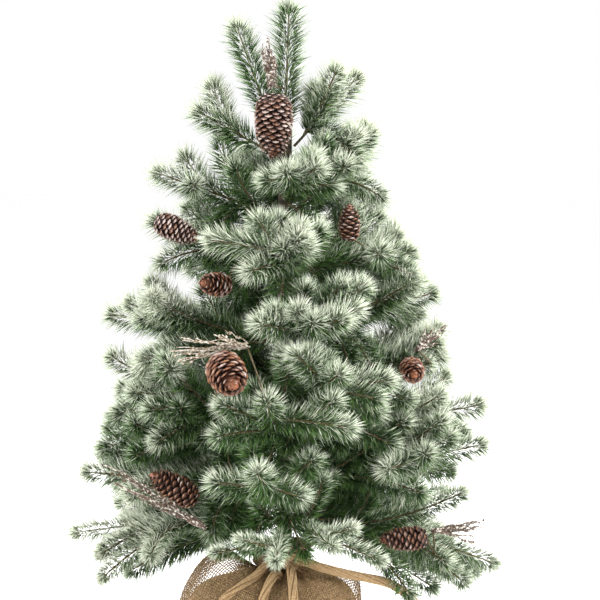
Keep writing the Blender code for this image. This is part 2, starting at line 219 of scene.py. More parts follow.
def smooth_route(points, step):
    """Points about a step apart on a Catmull-Rom curve through the given points."""
    points = np.asarray(points, float)
    ends = np.vstack([2 * points[0] - points[1], points, 2 * points[-1] - points[-2]])
    fine = []
    for a, b, c, d in zip(ends, ends[1:], ends[2:], ends[3:]):
        for t in np.linspace(0, 1, 24, endpoint=False):
            fine.append(0.5 * (2 * b + (c - a) * t + (2 * a - 5 * b + 4 * c - d) * t * t
                               + (3 * b - a - 3 * c + d) * t**3))
    fine.append(points[-1])
    fine = np.array(fine)
    along = np.concatenate([[0], np.cumsum(np.linalg.norm(np.diff(fine, axis=0), axis=1))])
    spots = np.linspace(0, along[-1], max(3, int(round(along[-1] / step)) + 1))
    return np.stack([np.interp(spots, along, fine[:, axis]) for axis in range(3)], axis=1)


def route_frames(route):
    """Along a route: the distance run, and three directions: forward and two across it."""
    forward = unit(np.gradient(route, axis=0))
    across = np.zeros_like(route)
    start = np.array([0.0, 0.0, 1.0]) if abs(forward[0, 2]) < 0.9 else np.array([1.0, 0.0, 0.0])
    across[0] = unit(np.cross(forward[0], start))
    for i in range(1, len(route)):
        kept = across[i - 1] - forward[i] * np.dot(across[i - 1], forward[i])
        across[i] = unit(kept)
    run = np.concatenate([[0], np.cumsum(np.linalg.norm(np.diff(route, axis=0), axis=1))])
    return run, forward, across, np.cross(forward, across)


# How wide a tube's end cap is on its map, as a share of the tube's own width there.
CAP_SPREAD = 0.3


def tube_faces(rows, sides):
    """The four-sided faces between a tube's rings, with each face's row and side."""
    row, side = np.meshgrid(np.arange(rows - 1), np.arange(sides), indexing="ij")
    after = (side + 1) % sides
    here, beyond = row * sides, (row + 1) * sides
    faces = np.stack([here + side, here + after, beyond + after, beyond + side], axis=-1)
    return faces.reshape(-1, 4), row, side


def add_tube(sheaf, route, radii, sides, u_range, slot=0, v_scale=None):
    """A closed tube along a route. Its map runs round it in u and along it in v."""
    run, _, across, up = route_frames(route)
    radii = np.broadcast_to(radii, len(route))
    turns = np.linspace(0, 2 * math.pi, sides, endpoint=False)
    ring = np.cos(turns)[None, :, None] * across[:, None] + np.sin(turns)[None, :, None] * up[:, None]
    points = (route[:, None] + ring * np.asarray(radii)[:, None, None]).reshape(-1, 3)
    faces, row, side = tube_faces(len(route), sides)
    share = run * v_scale if v_scale else run / run[-1]
    u = u_range[0] + (u_range[1] - u_range[0]) * np.arange(sides + 1) / sides
    corners = ((side, row), (side + 1, row), (side + 1, row + 1), (side, row + 1))
    maps = np.stack([np.stack([u[i], share[j]], -1) for i, j in corners], axis=2)
    sheaf.add(points, faces, maps.reshape(-1, 4, 2), slot)
    first = np.arange(sides)[::-1][None] - len(points)
    last = np.arange(sides)[None] - sides
    middle = (u_range[0] + u_range[1]) / 2
    spread = (u_range[1] - u_range[0]) * CAP_SPREAD
    disc = np.stack([middle + spread * np.cos(turns), 0.02 + 0.015 * np.sin(turns)], -1)[None]
    far_disc = disc if v_scale else disc + [0, 0.95]
    sheaf.add(np.zeros((0, 3)), first, disc, slot)
    sheaf.add(np.zeros((0, 3)), last, far_disc, slot)


# %% [markdown]
# A material's pattern is a small graph of nodes. These helpers keep each graph to a few lines: one
# adds a node and wires its inputs, and the others are the sums and colour ramps used most.

# %% Node helpers


def add_node(tree, kind, settings=None, **inputs):
    """A node with its settings made and its inputs given by name, as sockets to wire or as values."""
    node = tree.nodes.new(kind)
    for key, value in (settings or {}).items():
        setattr(node, key, value)
    for key, value in inputs.items():
        socket = node.inputs[int(key[1:])] if key[1:].isdigit() else node.inputs[key]
        if isinstance(value, bpy.types.NodeSocket):
            tree.links.new(value, socket)
        else:
            socket.default_value = value
    return node


def sum_of(tree, operation, first, second=0.0, clamp=False):
    """A Math node on one or two values."""
    settings = {"operation": operation, "use_clamp": clamp}
    return add_node(tree, "ShaderNodeMath", settings, _0=first, _1=second).outputs[0]


def ramp_of(tree, value, *stops):
    """A colour ramp: each stop is (place, (red, green, blue))."""
    node = add_node(tree, "ShaderNodeValToRGB", Fac=value)
    elements = node.color_ramp.elements
    while len(elements) < len(stops):
        elements.new(0.5)
    for element, (place, colour) in zip(elements, stops):
        element.position = place
        element.color = (*colour, 1)
    return node.outputs[0]


def mixed(tree, share, first, second):
    """A share of the second colour laid over the first."""
    node = add_node(tree, "ShaderNodeMix", {"data_type": "RGBA"})
    for socket, value in ((node.inputs[0], share), (node.inputs[6], first), (node.inputs[7], second)):
        if isinstance(value, bpy.types.NodeSocket):
            tree.links.new(value, socket)
        else:
            socket.default_value = value
    return node.outputs[2]


def bumped(tree, shader, height, strength, distance):
    """Makes a surface look raised where a value is high."""
    bump = add_node(tree, "ShaderNodeBump", Height=height, Strength=strength, Distance=distance)
    tree.links.new(bump.outputs[0], shader.inputs["Normal"])


def coloured(tree, shader, colour):
    """Wires a colour into a material's base colour."""
    tree.links.new(colour, shader.inputs["Base Color"])


# %% [markdown]
# ## The jute rope
#
# The sack's neck is tied with jute rope: a round turn and a knot in front, a bow loop that hangs at
# the left, a long tail that leaves to the right and hangs to the table, and a short tail end. A
# loose jute rope is a bundle of thin strands, so each rope is fifteen strands that turn slowly
# round the rope's own line. The routes are those of the frame's solids.

# %% Jute finish
tree, shader, jute = shader_material("jute_fibre", roughness=0.85)
place = add_node(tree, "ShaderNodeUVMap", {"uv_map": "fibres"}).outputs[0]
stretched = add_node(tree, "ShaderNodeMapping", Vector=place, Scale=(14, 60, 1)).outputs[0]
streaks = add_node(tree, "ShaderNodeTexNoise", Vector=stretched, Scale=3.0, Detail=4.0).outputs[0]
broad = add_node(tree, "ShaderNodeMapping", Vector=place, Scale=(1, 40, 1)).outputs[0]
patches = add_node(tree, "ShaderNodeTexNoise", Vector=broad, Scale=1.5, Detail=2.0).outputs[0]
shade = sum_of(tree, "ADD", sum_of(tree, "MULTIPLY", streaks, 0.7), sum_of(tree, "MULTIPLY", patches, 0.3))
coloured(tree, shader, ramp_of(
    tree, shade,
    (0.30, (0.13, 0.07, 0.03)), (0.48, (0.36, 0.23, 0.11)), (0.66, (0.62, 0.45, 0.25)),
))
bumped(tree, shader, streaks, 0.5, 0.3 * MM)

# %% Ropes
ROPE_DIAMETER = 8 * MM
STRAND_RADIUS = 1.15 * MM
# Each strand: how far out it lies, and where round the rope, as a share of a turn.
INNER_STRANDS = [(1.55 * MM, k / 5) for k in range(5)]
OUTER_STRANDS = [(2.95 * MM, k / 9) for k in range(9)]
STRANDS = [(0.0, 0.0)] + INNER_STRANDS + OUTER_STRANDS
STRAND_PITCH = 105 * MM
STRAND_WANDER = 0.16 * MM
FRAYED_END = 14 * MM
FIBRE_RADIUS = 0.07 * MM
FIBRES_PER_POINT = 1.2
TABLE_GAP = 0.1 * MM

# The ropes' routes, in millimetres.
ROPES = {
    "jute_loop": [
        (-4, -38.5, 106.5), (-9, -50, 108.5), (-16, -63, 97), (-21, -74, 82), (-28, -77.5, 66),
        (-38, -76.5, 54), (-50, -72, 50), (-60, -65, 57), (-62, -61, 72), (-53, -58, 88),
        (-39, -54, 98.5), (-25, -46, 107), (-17, -39, 115), (-10.5, -35, 119),
    ],
    "jute_tail_long": [
        (9.6, -33, 118), (19, -39, 118), (34, -46, 114), (52, -49, 110), (72, -49, 106),
        (92, -48, 100), (108, -47, 88), (117, -47, 73), (122, -48, 56), (125, -50, 38),
        (129, -53, 20), (138, -57, 8), (150, -63, 4.6), (163, -68, 4.6),
    ],
    "jute_tail_short": [
        (5, -39, 113), (6, -52, 109), (7, -64, 100), (8, -74, 88), (9.5, -80, 74), (11, -81.5, 60),
    ],
}


def add_strands(sheaf, route, radius, rng, frayed=0.0):
    """Lays strands round a route, which spread apart over a frayed length at its end."""
    run, _, across, up = route_frames(route)
    scale = radius / (STRANDS[-1][0] + STRAND_RADIUS)
    for distance, turn in STRANDS:
        angle = 2 * math.pi * (turn + run / STRAND_PITCH) + rng.normal(0, 0.15)
        wander = np.interp(run, np.linspace(0, run[-1], 7), rng.normal(0, STRAND_WANDER, 7))
        out = (distance * scale + wander)[:, None]
        line = route + (across * np.cos(angle)[:, None] + up * np.sin(angle)[:, None]) * out
        if frayed:
            spread = np.clip((run - run[-1] + frayed) / frayed, 0, 1) ** 2
            line = line + (line - route) * spread[:, None] * rng.uniform(0.2, 0.7)
        radii = np.full(len(line), STRAND_RADIUS * scale * rng.uniform(0.85, 1.1))
        radii[0] *= 0.5
        radii[-1] *= 0.4
        add_tube(sheaf, line, radii, 6, (rng.random(), rng.random() + 1), v_scale=8.0)


def add_fuzz(sheaf, route, reach, count, rng):
    """Thin loose fibres that stand off a rope."""
    run, forward, across, up = route_frames(route)
    for _ in range(count):
        i = int(rng.integers(1, len(route) - 1))
        angle = rng.uniform(0, 2 * math.pi)
        side = across[i] * math.cos(angle) + up[i] * math.sin(angle)
        lean = forward[i] * rng.uniform(-1, 1)
        start = route[i] + side * reach * 0.9
        length = rng.uniform(1.5, 4) * MM
        middle = start + (side * 0.35 + lean) * length * 0.5
        end = start + (side * 0.5 + lean) * length
        add_tube(sheaf, np.array([start, middle, end]), FIBRE_RADIUS, 3, (0.1, 0.4), v_scale=8.0)


# %% Lay the ropes
for number, (name, points) in enumerate(ROPES.items()):
    rng = np.random.default_rng(40 + number)
    line = smooth_route(np.array(points) * MM, 3.0 * MM)
    rope = Sheaf()
    add_strands(rope, line, ROPE_DIAMETER / 2, rng, frayed=0 if name == "jute_loop" else FRAYED_END)
    add_fuzz(rope, line, ROPE_DIAMETER / 2, int(len(line) * FIBRES_PER_POINT), rng)
    rope.lift_above(TABLE_GAP)
    piece = rope.mesh_object(name + "_rope", "fibres", [jute])
    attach(piece, "base")
    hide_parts(name)

# %% [markdown]
# The round turn sits in the neck, two turns deep, and the knot is two short bends of the same rope
# that cross in front of it.

# %% Binding and knot
NECK_HEIGHT = 116.5 * MM
# Each turn of the binding: its radius, and how far above the neck's middle it lies, in millimetres.
TURNS = ((21.2, -2.4), (21.4, 2.5))
TURN_RADIUS = 3.1 * MM
KNOT_RADIUS = 3.4 * MM
KNOT_BENDS = [
    [(-9, -24, 120), (-6, -33, 121), (0, -38, 117), (6, -35, 112), (8, -25, 112)],
    [(-8, -25, 112), (-6, -35, 113), (-1, -35, 118), (5, -33, 121), (9, -24, 120)],
]
SACK_SAG = 1.2
SACK_TUCK = 0.87


def lean_sack(points):
    """The sack sags to its left side and tucks in on its right."""
    points = np.array(points, float)
    points[..., 0] *= np.where(points[..., 0] < 0, SACK_SAG, SACK_TUCK)
    return points


rng = np.random.default_rng(7)
binding = Sheaf()
turn = np.linspace(0, 2 * math.pi, 64)
for radius, height in TURNS:
    ring = np.stack(
        [radius * MM * np.cos(turn), radius * MM * np.sin(turn),
         NECK_HEIGHT + height * MM + 0.5 * MM * np.sin(3 * turn)], axis=1)
    add_strands(binding, lean_sack(ring), TURN_RADIUS, rng)
for points in KNOT_BENDS:
    add_strands(binding, smooth_route(np.array(points) * MM, 2.0 * MM), KNOT_RADIUS, rng)
binding = binding.mesh_object("jute_binding", "fibres", [jute])
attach(binding, "base")
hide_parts("jute_band")
print("binding:", len(TURNS), "turns and", len(KNOT_BENDS), "bends of rope")

# %% [markdown]
# ## The burlap sack
#
# The sack is one piece of burlap gathered round the pot. It is modelled as a grid that is rolled
# into the sack's turned outline and given soft folds, which are finest at the tied neck. The weave
# is a pattern on the cloth's own map, so it follows every fold.

# %% Burlap finish
# How many threads the pattern has round the sack and down it.
ACROSS = 225
DOWN = 120


def burlap_colour(tree, shade):
    """Jute's browns, dark at 0 and light at 1; in the weave the dark end also paints shade in the gaps
    between threads.
    """
    return ramp_of(
        tree, shade,
        (0.20, (0.09, 0.05, 0.02)), (0.5, (0.33, 0.215, 0.105)), (0.8, (0.52, 0.37, 0.20)),
    )


tree, shader, burlap = shader_material("burlap_weave", roughness=0.95)
place = add_node(tree, "ShaderNodeUVMap", {"uv_map": "weave"}).outputs[0]
split = add_node(tree, "ShaderNodeSeparateXYZ", Vector=place)


def thread_height(tree, along, count):
    """A row of rounded threads: 1 at the middle of each, 0 in the gaps between them."""
    wave = sum_of(tree, "SINE", sum_of(tree, "MULTIPLY", along, math.pi * count))
    return sum_of(tree, "POWER", sum_of(tree, "ABSOLUTE", wave), 0.6)


warp = thread_height(tree, split.outputs[0], ACROSS)
weft = thread_height(tree, split.outputs[1], DOWN)
uneven = add_node(tree, "ShaderNodeMapping", Vector=place, Scale=(ACROSS / 3, 14, 1)).outputs[0]
slubs = add_node(tree, "ShaderNodeTexNoise", Vector=uneven, Scale=1.0, Detail=3.0).outputs[0]
# Darker where the threads part: the thread relief that drives the bump also paints shade into the gaps of
# the weave.
over = sum_of(tree, "MULTIPLY", sum_of(tree, "ADD", warp, weft), 0.5)
shade = sum_of(tree, "ADD", sum_of(tree, "MULTIPLY", over, 0.85), sum_of(tree, "MULTIPLY", slubs, 0.55))
shade = sum_of(tree, "SUBTRACT", shade, 0.13)
coloured(tree, shader, burlap_colour(tree, shade))
bumped(tree, shader, over, 1.0, 0.6 * MM)

tree, shader, thread_finish = shader_material("burlap_thread", roughness=0.95)
place = add_node(tree, "ShaderNodeUVMap", {"uv_map": "weave"}).outputs[0]
stretched = add_node(tree, "ShaderNodeMapping", Vector=place, Scale=(3, 40, 1)).outputs[0]
shade = add_node(tree, "ShaderNodeTexNoise", Vector=stretched, Scale=2.0, Detail=3.0).outputs[0]
coloured(tree, shader, burlap_colour(tree, sum_of(tree, "SUBTRACT", shade, 0.08)))

# %% Sack body
# The sack's turned outline, from its frill to the middle of its foot: radius and height in mm.
SACK_OUTLINE = [
    (30, 130), (17.2, 123), (14.5, 117), (15.5, 110), (30, 104), (53, 95.5), (66, 84), (72, 66),
    (73, 45), (69, 20), (62, 5), (50, 0.6), (20, 0.6), (0.5, 0.6),
]
CLOTH_THICKNESS = 0.9 * MM
# Each band of folds: how many there are round the sack, their depth, and the heights they fill.
FOLD_BANDS = ((26, 1.2, 96, 117), (14, 2.2, 78, 108), (9, 2.0, 30, 88))
FRILL_HEIGHT = 121 * MM


def outline_at(outline, shares):
    """Points of a turned outline, smoothed, at shares of its length."""
    flat = np.array([(radius * MM, 0, height * MM) for radius, height in outline])
    fine = smooth_route(flat, 1.0 * MM)
    run = np.concatenate([[0], np.cumsum(np.linalg.norm(np.diff(fine, axis=0), axis=1))])
    radius = np.interp(shares * run[-1], run, fine[:, 0])
    height = np.interp(shares * run[-1], run, fine[:, 2])
    return radius, height, run[-1]


def fold_depth(bearing, height, seed):
    """How far the cloth stands out in a fold: sharp gathers at the neck that soften downwards."""
    rng = np.random.default_rng(seed)
    depth = np.zeros_like(bearing)
    for waves, size, low, high in FOLD_BANDS:
        phase = rng.uniform(0, 2 * math.pi)
        drift = rng.uniform(-0.01, 0.01)
        middle, spread = (low + high) / 2 * MM, (high - low) / 2 * MM
        envelope = np.exp(-(((height - middle) / spread) ** 2))
        depth += size * MM * envelope * np.sin(waves * bearing + phase + drift * height / MM)
    frill = np.clip((height - FRILL_HEIGHT) / (8 * MM), 0, 1)
    return depth + frill * 2.6 * MM * np.sin(11 * bearing + 1.1)


# %% Roll and fold the sack
deselect_all()
bpy.ops.mesh.primitive_grid_add(x_subdivisions=220, y_subdivisions=74, size=2, location=(0, 0, 0))
sack = bpy.context.object
sack.name = "burlap_sack"
flat = np.empty(len(sack.data.vertices) * 3)
sack.data.vertices.foreach_get("co", flat)
flat = flat.reshape(-1, 3)
bearing = flat[:, 0] * math.pi
share = (1 - flat[:, 1]) / 2
radius, height, outline_length = outline_at(SACK_OUTLINE, share)
radius = radius + fold_depth(bearing, height, 3) * np.clip(radius / (20 * MM), 0, 1)
rolled = np.stack([radius * np.cos(bearing), radius * np.sin(bearing), height], axis=1)
sack.data.vertices.foreach_set("co", lean_sack(rolled).ravel())
sack.data.uv_layers[0].name = "weave"
bpy.ops.object.mode_set(mode="EDIT")
bpy.ops.mesh.select_all(action="SELECT")
bpy.ops.mesh.remove_doubles(threshold=0.05 * MM)
bpy.ops.mesh.normals_make_consistent(inside=False)
bpy.ops.object.mode_set(mode="OBJECT")
bpy.ops.object.shade_smooth()
wall = sack.modifiers.new("cloth", "SOLIDIFY")
wall.thickness = CLOTH_THICKNESS
wall.offset = -1
bpy.ops.object.modifier_apply(modifier="cloth")
sack.data.materials.append(burlap)
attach(sack, "base")
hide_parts("burlap_wrap")
print("sack outline", round(outline_length * 1000), "mm from frill to the middle of its foot")

# %% [markdown]
# A second, looser layer of the same cloth hangs outside the first over the front: it flares out
# at the left, where one can see through it, and ends in a straight raw edge at the right. There the
# threads can be counted, so this layer is really woven: each thread is a thin tube that goes over
# and under the ones that cross it, and runs on past the last of them as a fringe.

# %% Woven flap
# The flap hangs in three outlines, which blend into each other: radius and height in mm.
FLAP_LEFT = [
    (17.5, 109), (27, 109.5), (40, 117), (56, 126), (72, 120), (86, 104), (95, 84), (98, 62),
    (96, 38), (90, 14),
]
FLAP_FRONT = [
    (17.5, 110), (28, 108.5), (42, 104.5), (58, 97), (70, 85), (76, 67), (77, 48), (76, 34),
    (74, 22), (71, 10),
]
FLAP_RIGHT = [
    (17.5, 110), (28, 109), (43, 110), (58, 109), (68, 102), (70, 86), (70.5, 66), (70.5, 46),
    (70, 28), (68, 12),
]
# The bearings of its left and right edges, in degrees.
FLAP_FROM = 196
FLAP_TO = 335
FLAP_ROWS = 64
FLAP_COLUMNS = 98
THREAD_RADIUS = 0.56 * MM
THREAD_RISE = 0.3 * MM
THREAD_WANDER = 0.10 * MM
DOWN_FRINGE_RADIUS = 0.3 * MM
SIDE_FRINGE_RADIUS = 0.22 * MM
SQUARE_SIDES = 4


def flap_point(side, down):
    """The cloth at a share across it, from its left edge to its right, and a share down it."""
    bearing = np.radians(FLAP_FROM + (FLAP_TO - FLAP_FROM) * side)
    left_share = np.clip(1 - side / 0.42, 0, 1)
    right_share = np.clip((side - 0.6) / 0.4, 0, 1)
    left_share = left_share**2 * (3 - 2 * left_share)
    right_share = right_share**2 * (3 - 2 * right_share)
    radius = height = 0
    for outline, weight in (
        (FLAP_LEFT, left_share), (FLAP_RIGHT, right_share),
        (FLAP_FRONT, 1 - left_share - right_share),
    ):
        one_radius, one_height, _ = outline_at(outline, down)
        radius = radius + one_radius * weight
        height = height + one_height * weight
    gather = np.exp(-((down - 0.16) / 0.14) ** 2)
    body = np.exp(-((down - 0.5) / 0.3) ** 2)
    radius = radius + 1.5 * MM * gather * np.sin(31 * bearing)
    radius = radius + 1.9 * MM * body * np.sin(12 * bearing + 0.6)
    height = height + 1.2 * MM * gather * np.cos(23 * bearing + 2)
    return np.stack([radius * np.cos(bearing), radius * np.sin(bearing), height], axis=-1)


# %% Weave the flap
down = np.linspace(0, 1, FLAP_ROWS)
side = np.linspace(0, 1, FLAP_COLUMNS)
side_grid, down_grid = np.meshgrid(side, down, indexing="ij")
crossings = flap_point(side_grid.ravel(), down_grid.ravel()).reshape(FLAP_COLUMNS, FLAP_ROWS, 3)
normal = unit(np.cross(np.gradient(crossings, axis=0), np.gradient(crossings, axis=1)))
numbers = np.add.outer(np.arange(FLAP_COLUMNS), np.arange(FLAP_ROWS))
over_or_under = np.where(numbers % 2 == 0, THREAD_RISE, -THREAD_RISE)
rng = np.random.default_rng(12)
flap = Sheaf()
fringe = Sheaf()


def run_on(line, length):
    """A thread's free end: it runs on past the edge and droops a little."""
    ahead = unit(line[-1] - line[-3])
    ahead = unit(ahead + rng.normal(0, 0.22, 3) + [0, 0, -0.12])
    middle = line[-1] + ahead * length * 0.5
    return np.array([line[-1], middle, middle + (ahead + [0, 0, -0.25]) * length * 0.5])


def lay_thread(line):
    """Lays one thread, and gives back the line that it took."""
    line = line + rng.normal(0, THREAD_WANDER, line.shape)
    u = rng.random()
    add_tube(flap, line, THREAD_RADIUS * rng.uniform(0.8, 1.15), SQUARE_SIDES, (u, u + 0.2), v_scale=4.0)
    return line


def lay_fringe(line, radius):
    """A loose end that runs on from the last point of a line."""
    add_tube(fringe, run_on(line, rng.uniform(3, 6) * MM), radius, 3, (0.1, 0.3), v_scale=4.0)


for column in range(FLAP_COLUMNS):
    line = lay_thread(crossings[column] + normal[column] * over_or_under[column, :, None])
    lay_fringe(line, DOWN_FRINGE_RADIUS)
for row in range(FLAP_ROWS):
    line = lay_thread(crossings[:, row] - normal[:, row] * over_or_under[:, row, None])
    # The first few threads lie under the binding, where there is no raw edge.
    edges = (line, line, line[::-1], line[::-1]) if row > 5 else ()
    for edge in edges:
        lay_fringe(edge, SIDE_FRINGE_RADIUS)
fringe = fringe.mesh_object("burlap_fringe", "weave", [thread_finish])
flap = flap.mesh_object("burlap_flap", "weave", [thread_finish])
flap_steps = np.linalg.norm(np.diff(crossings, axis=0), axis=2).mean(axis=1)
flap_cells = np.linalg.norm(
    np.cross(crossings[1:, :-1] - crossings[:-1, :-1], crossings[:-1, 1:] - crossings[:-1, :-1]), axis=2)
print("flap threads are", round(1000 * float(flap_steps.mean()), 2), "mm apart;",
      "its cloth is", round(1e4 * float(flap_cells.sum())), "square cm")
for piece in (flap, fringe):
    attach(piece, "base")

# %% [markdown]
# ## Pot, weight and trunk
#
# These keep the frame's own solids, which have the right shape. Only their finishes are made here:
# speckled cement, moulded black plastic, a painted steel pole and brown floral tape, whose turns
# show as a fine slanting ridge.

# %% Finishes of the base and the trunk


def object_noise(tree, scale, detail=4.0, stretch=(1, 1, 1)):
    """Noise in the object's own space, so that it stays put on the piece."""
    place = add_node(tree, "ShaderNodeTexCoord").outputs["Object"]
    place = add_node(tree, "ShaderNodeMapping", Vector=place, Scale=stretch).outputs[0]
    return add_node(tree, "ShaderNodeTexNoise", Vector=place, Scale=scale, Detail=detail).outputs[0]


def dress(node, material):
    """Gives a piece of the frame its finish."""
    piece = frame["nodes"][node]
    piece.data.materials.clear()
    piece.data.materials.append(material)


tree, shader, cement = shader_material("cement", roughness=0.9)
grain = object_noise(tree, 900)
coloured(tree, shader, ramp_of(tree, grain, (0.35, (0.30, 0.29, 0.27)), (0.7, (0.62, 0.60, 0.56))))
bumped(tree, shader, grain, 0.4, 0.3 * MM)
dress("base_weight", cement)

tree, shader, pot_plastic = shader_material("pot_plastic", roughness=0.5)
grain = object_noise(tree, 1500)
coloured(tree, shader, ramp_of(tree, grain, (0.3, (0.012, 0.012, 0.013)), (0.7, (0.03, 0.03, 0.032))))
bumped(tree, shader, grain, 0.15, 0.1 * MM)
dress("base_pot", pot_plastic)

tree, shader, painted_steel = shader_material("painted_steel", roughness=0.45)
shader.inputs["Metallic"].default_value = 0.3
grain = object_noise(tree, 260, stretch=(4, 4, 0.6))
coloured(tree, shader, ramp_of(tree, grain, (0.35, (0.02, 0.035, 0.015)), (0.7, (0.05, 0.06, 0.03))))
dress("trunk_pole", painted_steel)

tree, shader, floral_tape = shader_material("floral_tape", roughness=0.75)
place = add_node(tree, "ShaderNodeTexCoord").outputs["Object"]
turned = add_node(tree, "ShaderNodeMapping", Vector=place, Rotation=(0.35, 0.2, 0)).outputs[0]
ridges = add_node(
    tree, "ShaderNodeTexWave", {"bands_direction": "Z"}, Vector=turned, Scale=45.0, Distortion=1.5,
).outputs[1]
coloured(tree, shader, ramp_of(tree, ridges, (0.1, (0.018, 0.012, 0.006)), (0.8, (0.06, 0.042, 0.02))))
bumped(tree, shader, ridges, 0.5, 0.4 * MM)
dress("trunk_tape", floral_tape)
print("finishes: cement, pot plastic, painted steel and floral tape")

# %% [markdown]
# ## Needles
#
# Moulded needles are about 17 mm long and under a millimetre wide, and point forward along their
# wire. One needle is modelled here, from a three-sided cone. Its base is poked, then pushed up and
# to one side, so that the needle starts a little way out from its wire and leans to its tip. Its
# map runs up the needle in v, from 0 at the wire to 1 at the tip. Across, the map is a palette:
# each needle lies in one of many narrow strips, and the strip says how dark its green is and how
# much frost it carries.

# %% One needle
NEEDLE_WIDTH = 0.92 * MM
# How far the base moves, in needle widths sideways and needle lengths up.
NEEDLE_SHIFT = (0.35, 0, 0.28)
deselect_all()
bpy.ops.mesh.primitive_cone_add(vertices=3, radius1=0.42, radius2=0, depth=1, location=(0, 0, 0.5))
bpy.ops.object.transform_apply(location=True, rotation=False, scale=False)
needle = bpy.context.object
select_points(needle, lambda place: place.z < 0.01)
bpy.ops.mesh.poke(offset=0)
bpy.ops.transform.translate(value=NEEDLE_SHIFT)
bpy.ops.object.mode_set(mode="OBJECT")
needle_points = np.array([vertex.co for vertex in needle.data.vertices])
needle_faces = np.array([face.vertices for face in needle.data.polygons])
bpy.data.objects.remove(needle)
corner_points = needle_points[needle_faces]
needle_u = 0.5 + 0.38 * corner_points[..., 1] / max(abs(needle_points[:, 1]).max(), 1e-9)
needle_u = needle_u + 0.08 * np.arange(3)[None]
needle_v = 0.03 + 0.94 * corner_points[..., 2] + 0.004 * np.arange(3)[None]
print("needle:", len(needle_points), "points and", len(needle_faces), "faces")

# %% [markdown]
# The palette's finish reads only that map, so it is the same on every branch. Frost starts at a
# needle's tip and creeps down towards its foot as the strip's frost grows; a bare needle's foot is
# darker and its tip is a fresher green.

# %% Needle finish
SHADES = 8
FROSTS = 8
# How much of the map's width the palette takes. The stems have the rest.
PALETTE_WIDTH = 0.9
STEM_STRIP = (0.93, 0.99)


def read_palette(tree, shades, levels):
    """What the palette's map says: the way along a shape, its strip's level and its shade, 0 to 1."""
    place = add_node(tree, "ShaderNodeUVMap", {"uv_map": "OFBake"}).outputs[0]
    split = add_node(tree, "ShaderNodeSeparateXYZ", Vector=place)
    strips = sum_of(tree, "MULTIPLY", split.outputs[0], shades * levels / PALETTE_WIDTH)
    strip = sum_of(tree, "FLOOR", strips)
    row = sum_of(tree, "FLOOR", sum_of(tree, "DIVIDE", strip, shades))
    level = sum_of(tree, "DIVIDE", row, levels - 1)
    shade = sum_of(tree, "DIVIDE", sum_of(tree, "MODULO", strip, shades), shades - 1)
    return split.outputs[1], level, shade


def add_palette_copies(sheaf, points, faces, strip, palette, u, v):
    """Adds copies (n, points, 3) of one shape, each mapped into its own strip of the palette."""
    count = len(points)
    faces = faces[None] + (np.arange(count) * points.shape[1])[:, None, None]
    u = (strip[:, None, None] + np.clip(u, 0.1, 0.9)[None]) * PALETTE_WIDTH / palette
    v = np.broadcast_to(v[None], u.shape)
    sheaf.add(points.reshape(-1, 3), faces.reshape(-1, 3), np.stack([u, v], -1).reshape(-1, 3, 2))


def palette_step(share, steps):
    """The step of a palette that is nearest to a share from 0 to 1."""
    return np.clip(np.round(share * (steps - 1)), 0, steps - 1)


tree, shader, needle_finish = shader_material("frosted_needles", roughness=0.62)
along, frost, green = read_palette(tree, SHADES, FROSTS)
foot = ramp_of(
    tree, green, (0.0, (0.006, 0.022, 0.005)), (0.5, (0.018, 0.060, 0.009)), (1.0, (0.045, 0.12, 0.014)))
tip = ramp_of(
    tree, green, (0.0, (0.020, 0.066, 0.012)), (0.5, (0.060, 0.16, 0.022)), (1.0, (0.15, 0.29, 0.04)))
needle_green = mixed(tree, along, foot, tip)
edge = sum_of(tree, "SUBTRACT", 1.15, sum_of(tree, "MULTIPLY", frost, 1.1))
cover = sum_of(tree, "DIVIDE", sum_of(tree, "SUBTRACT", along, edge), 0.45, clamp=True)
cover = sum_of(tree, "MULTIPLY", cover, sum_of(tree, "ADD", 0.4, sum_of(tree, "MULTIPLY", frost, 0.55)))
white = ramp_of(tree, green, (0.0, (0.44, 0.50, 0.35)), (1.0, (0.88, 0.90, 0.77)))
coloured(tree, shader, mixed(tree, cover, needle_green, white))

WIRE_DARK = (0.035, 0.028, 0.010)
WIRE_LIGHT = (0.13, 0.095, 0.035)
tree, shader, stem_finish = shader_material("wound_stem", roughness=0.8)
place = add_node(tree, "ShaderNodeUVMap", {"uv_map": "OFBake"}).outputs[0]
split = add_node(tree, "ShaderNodeSeparateXYZ", Vector=place)
slant = sum_of(tree, "ADD", sum_of(tree, "MULTIPLY", split.outputs[1], 150.0),
               sum_of(tree, "MULTIPLY", split.outputs[0], 80.0))
wound = sum_of(tree, "ADD", sum_of(tree, "MULTIPLY", sum_of(tree, "SINE", slant), 0.5), 0.5)
coloured(tree, shader, ramp_of(tree, wound, (0.1, WIRE_DARK), (0.9, WIRE_LIGHT)))
print("needle palette:", SHADES, "shades of green and", FROSTS, "steps of frost")

# %% [markdown]
# ## Branches
#
# A branch is a main wire with side tips that leave it along the way, each a bottle brush of
# needles. The brushes follow the cores in the frame: the same bends, forks and tips. Shorter filler
# tips stand between those, and a few collar tips close to the pole climb or droop into the space
# between tiers, so that the tree is as dense as a real one. Needles stand at a golden-angle spiral,
# shorter and further forward towards the end, so that each tip closes in a round tuft.

# %% Where each branch goes

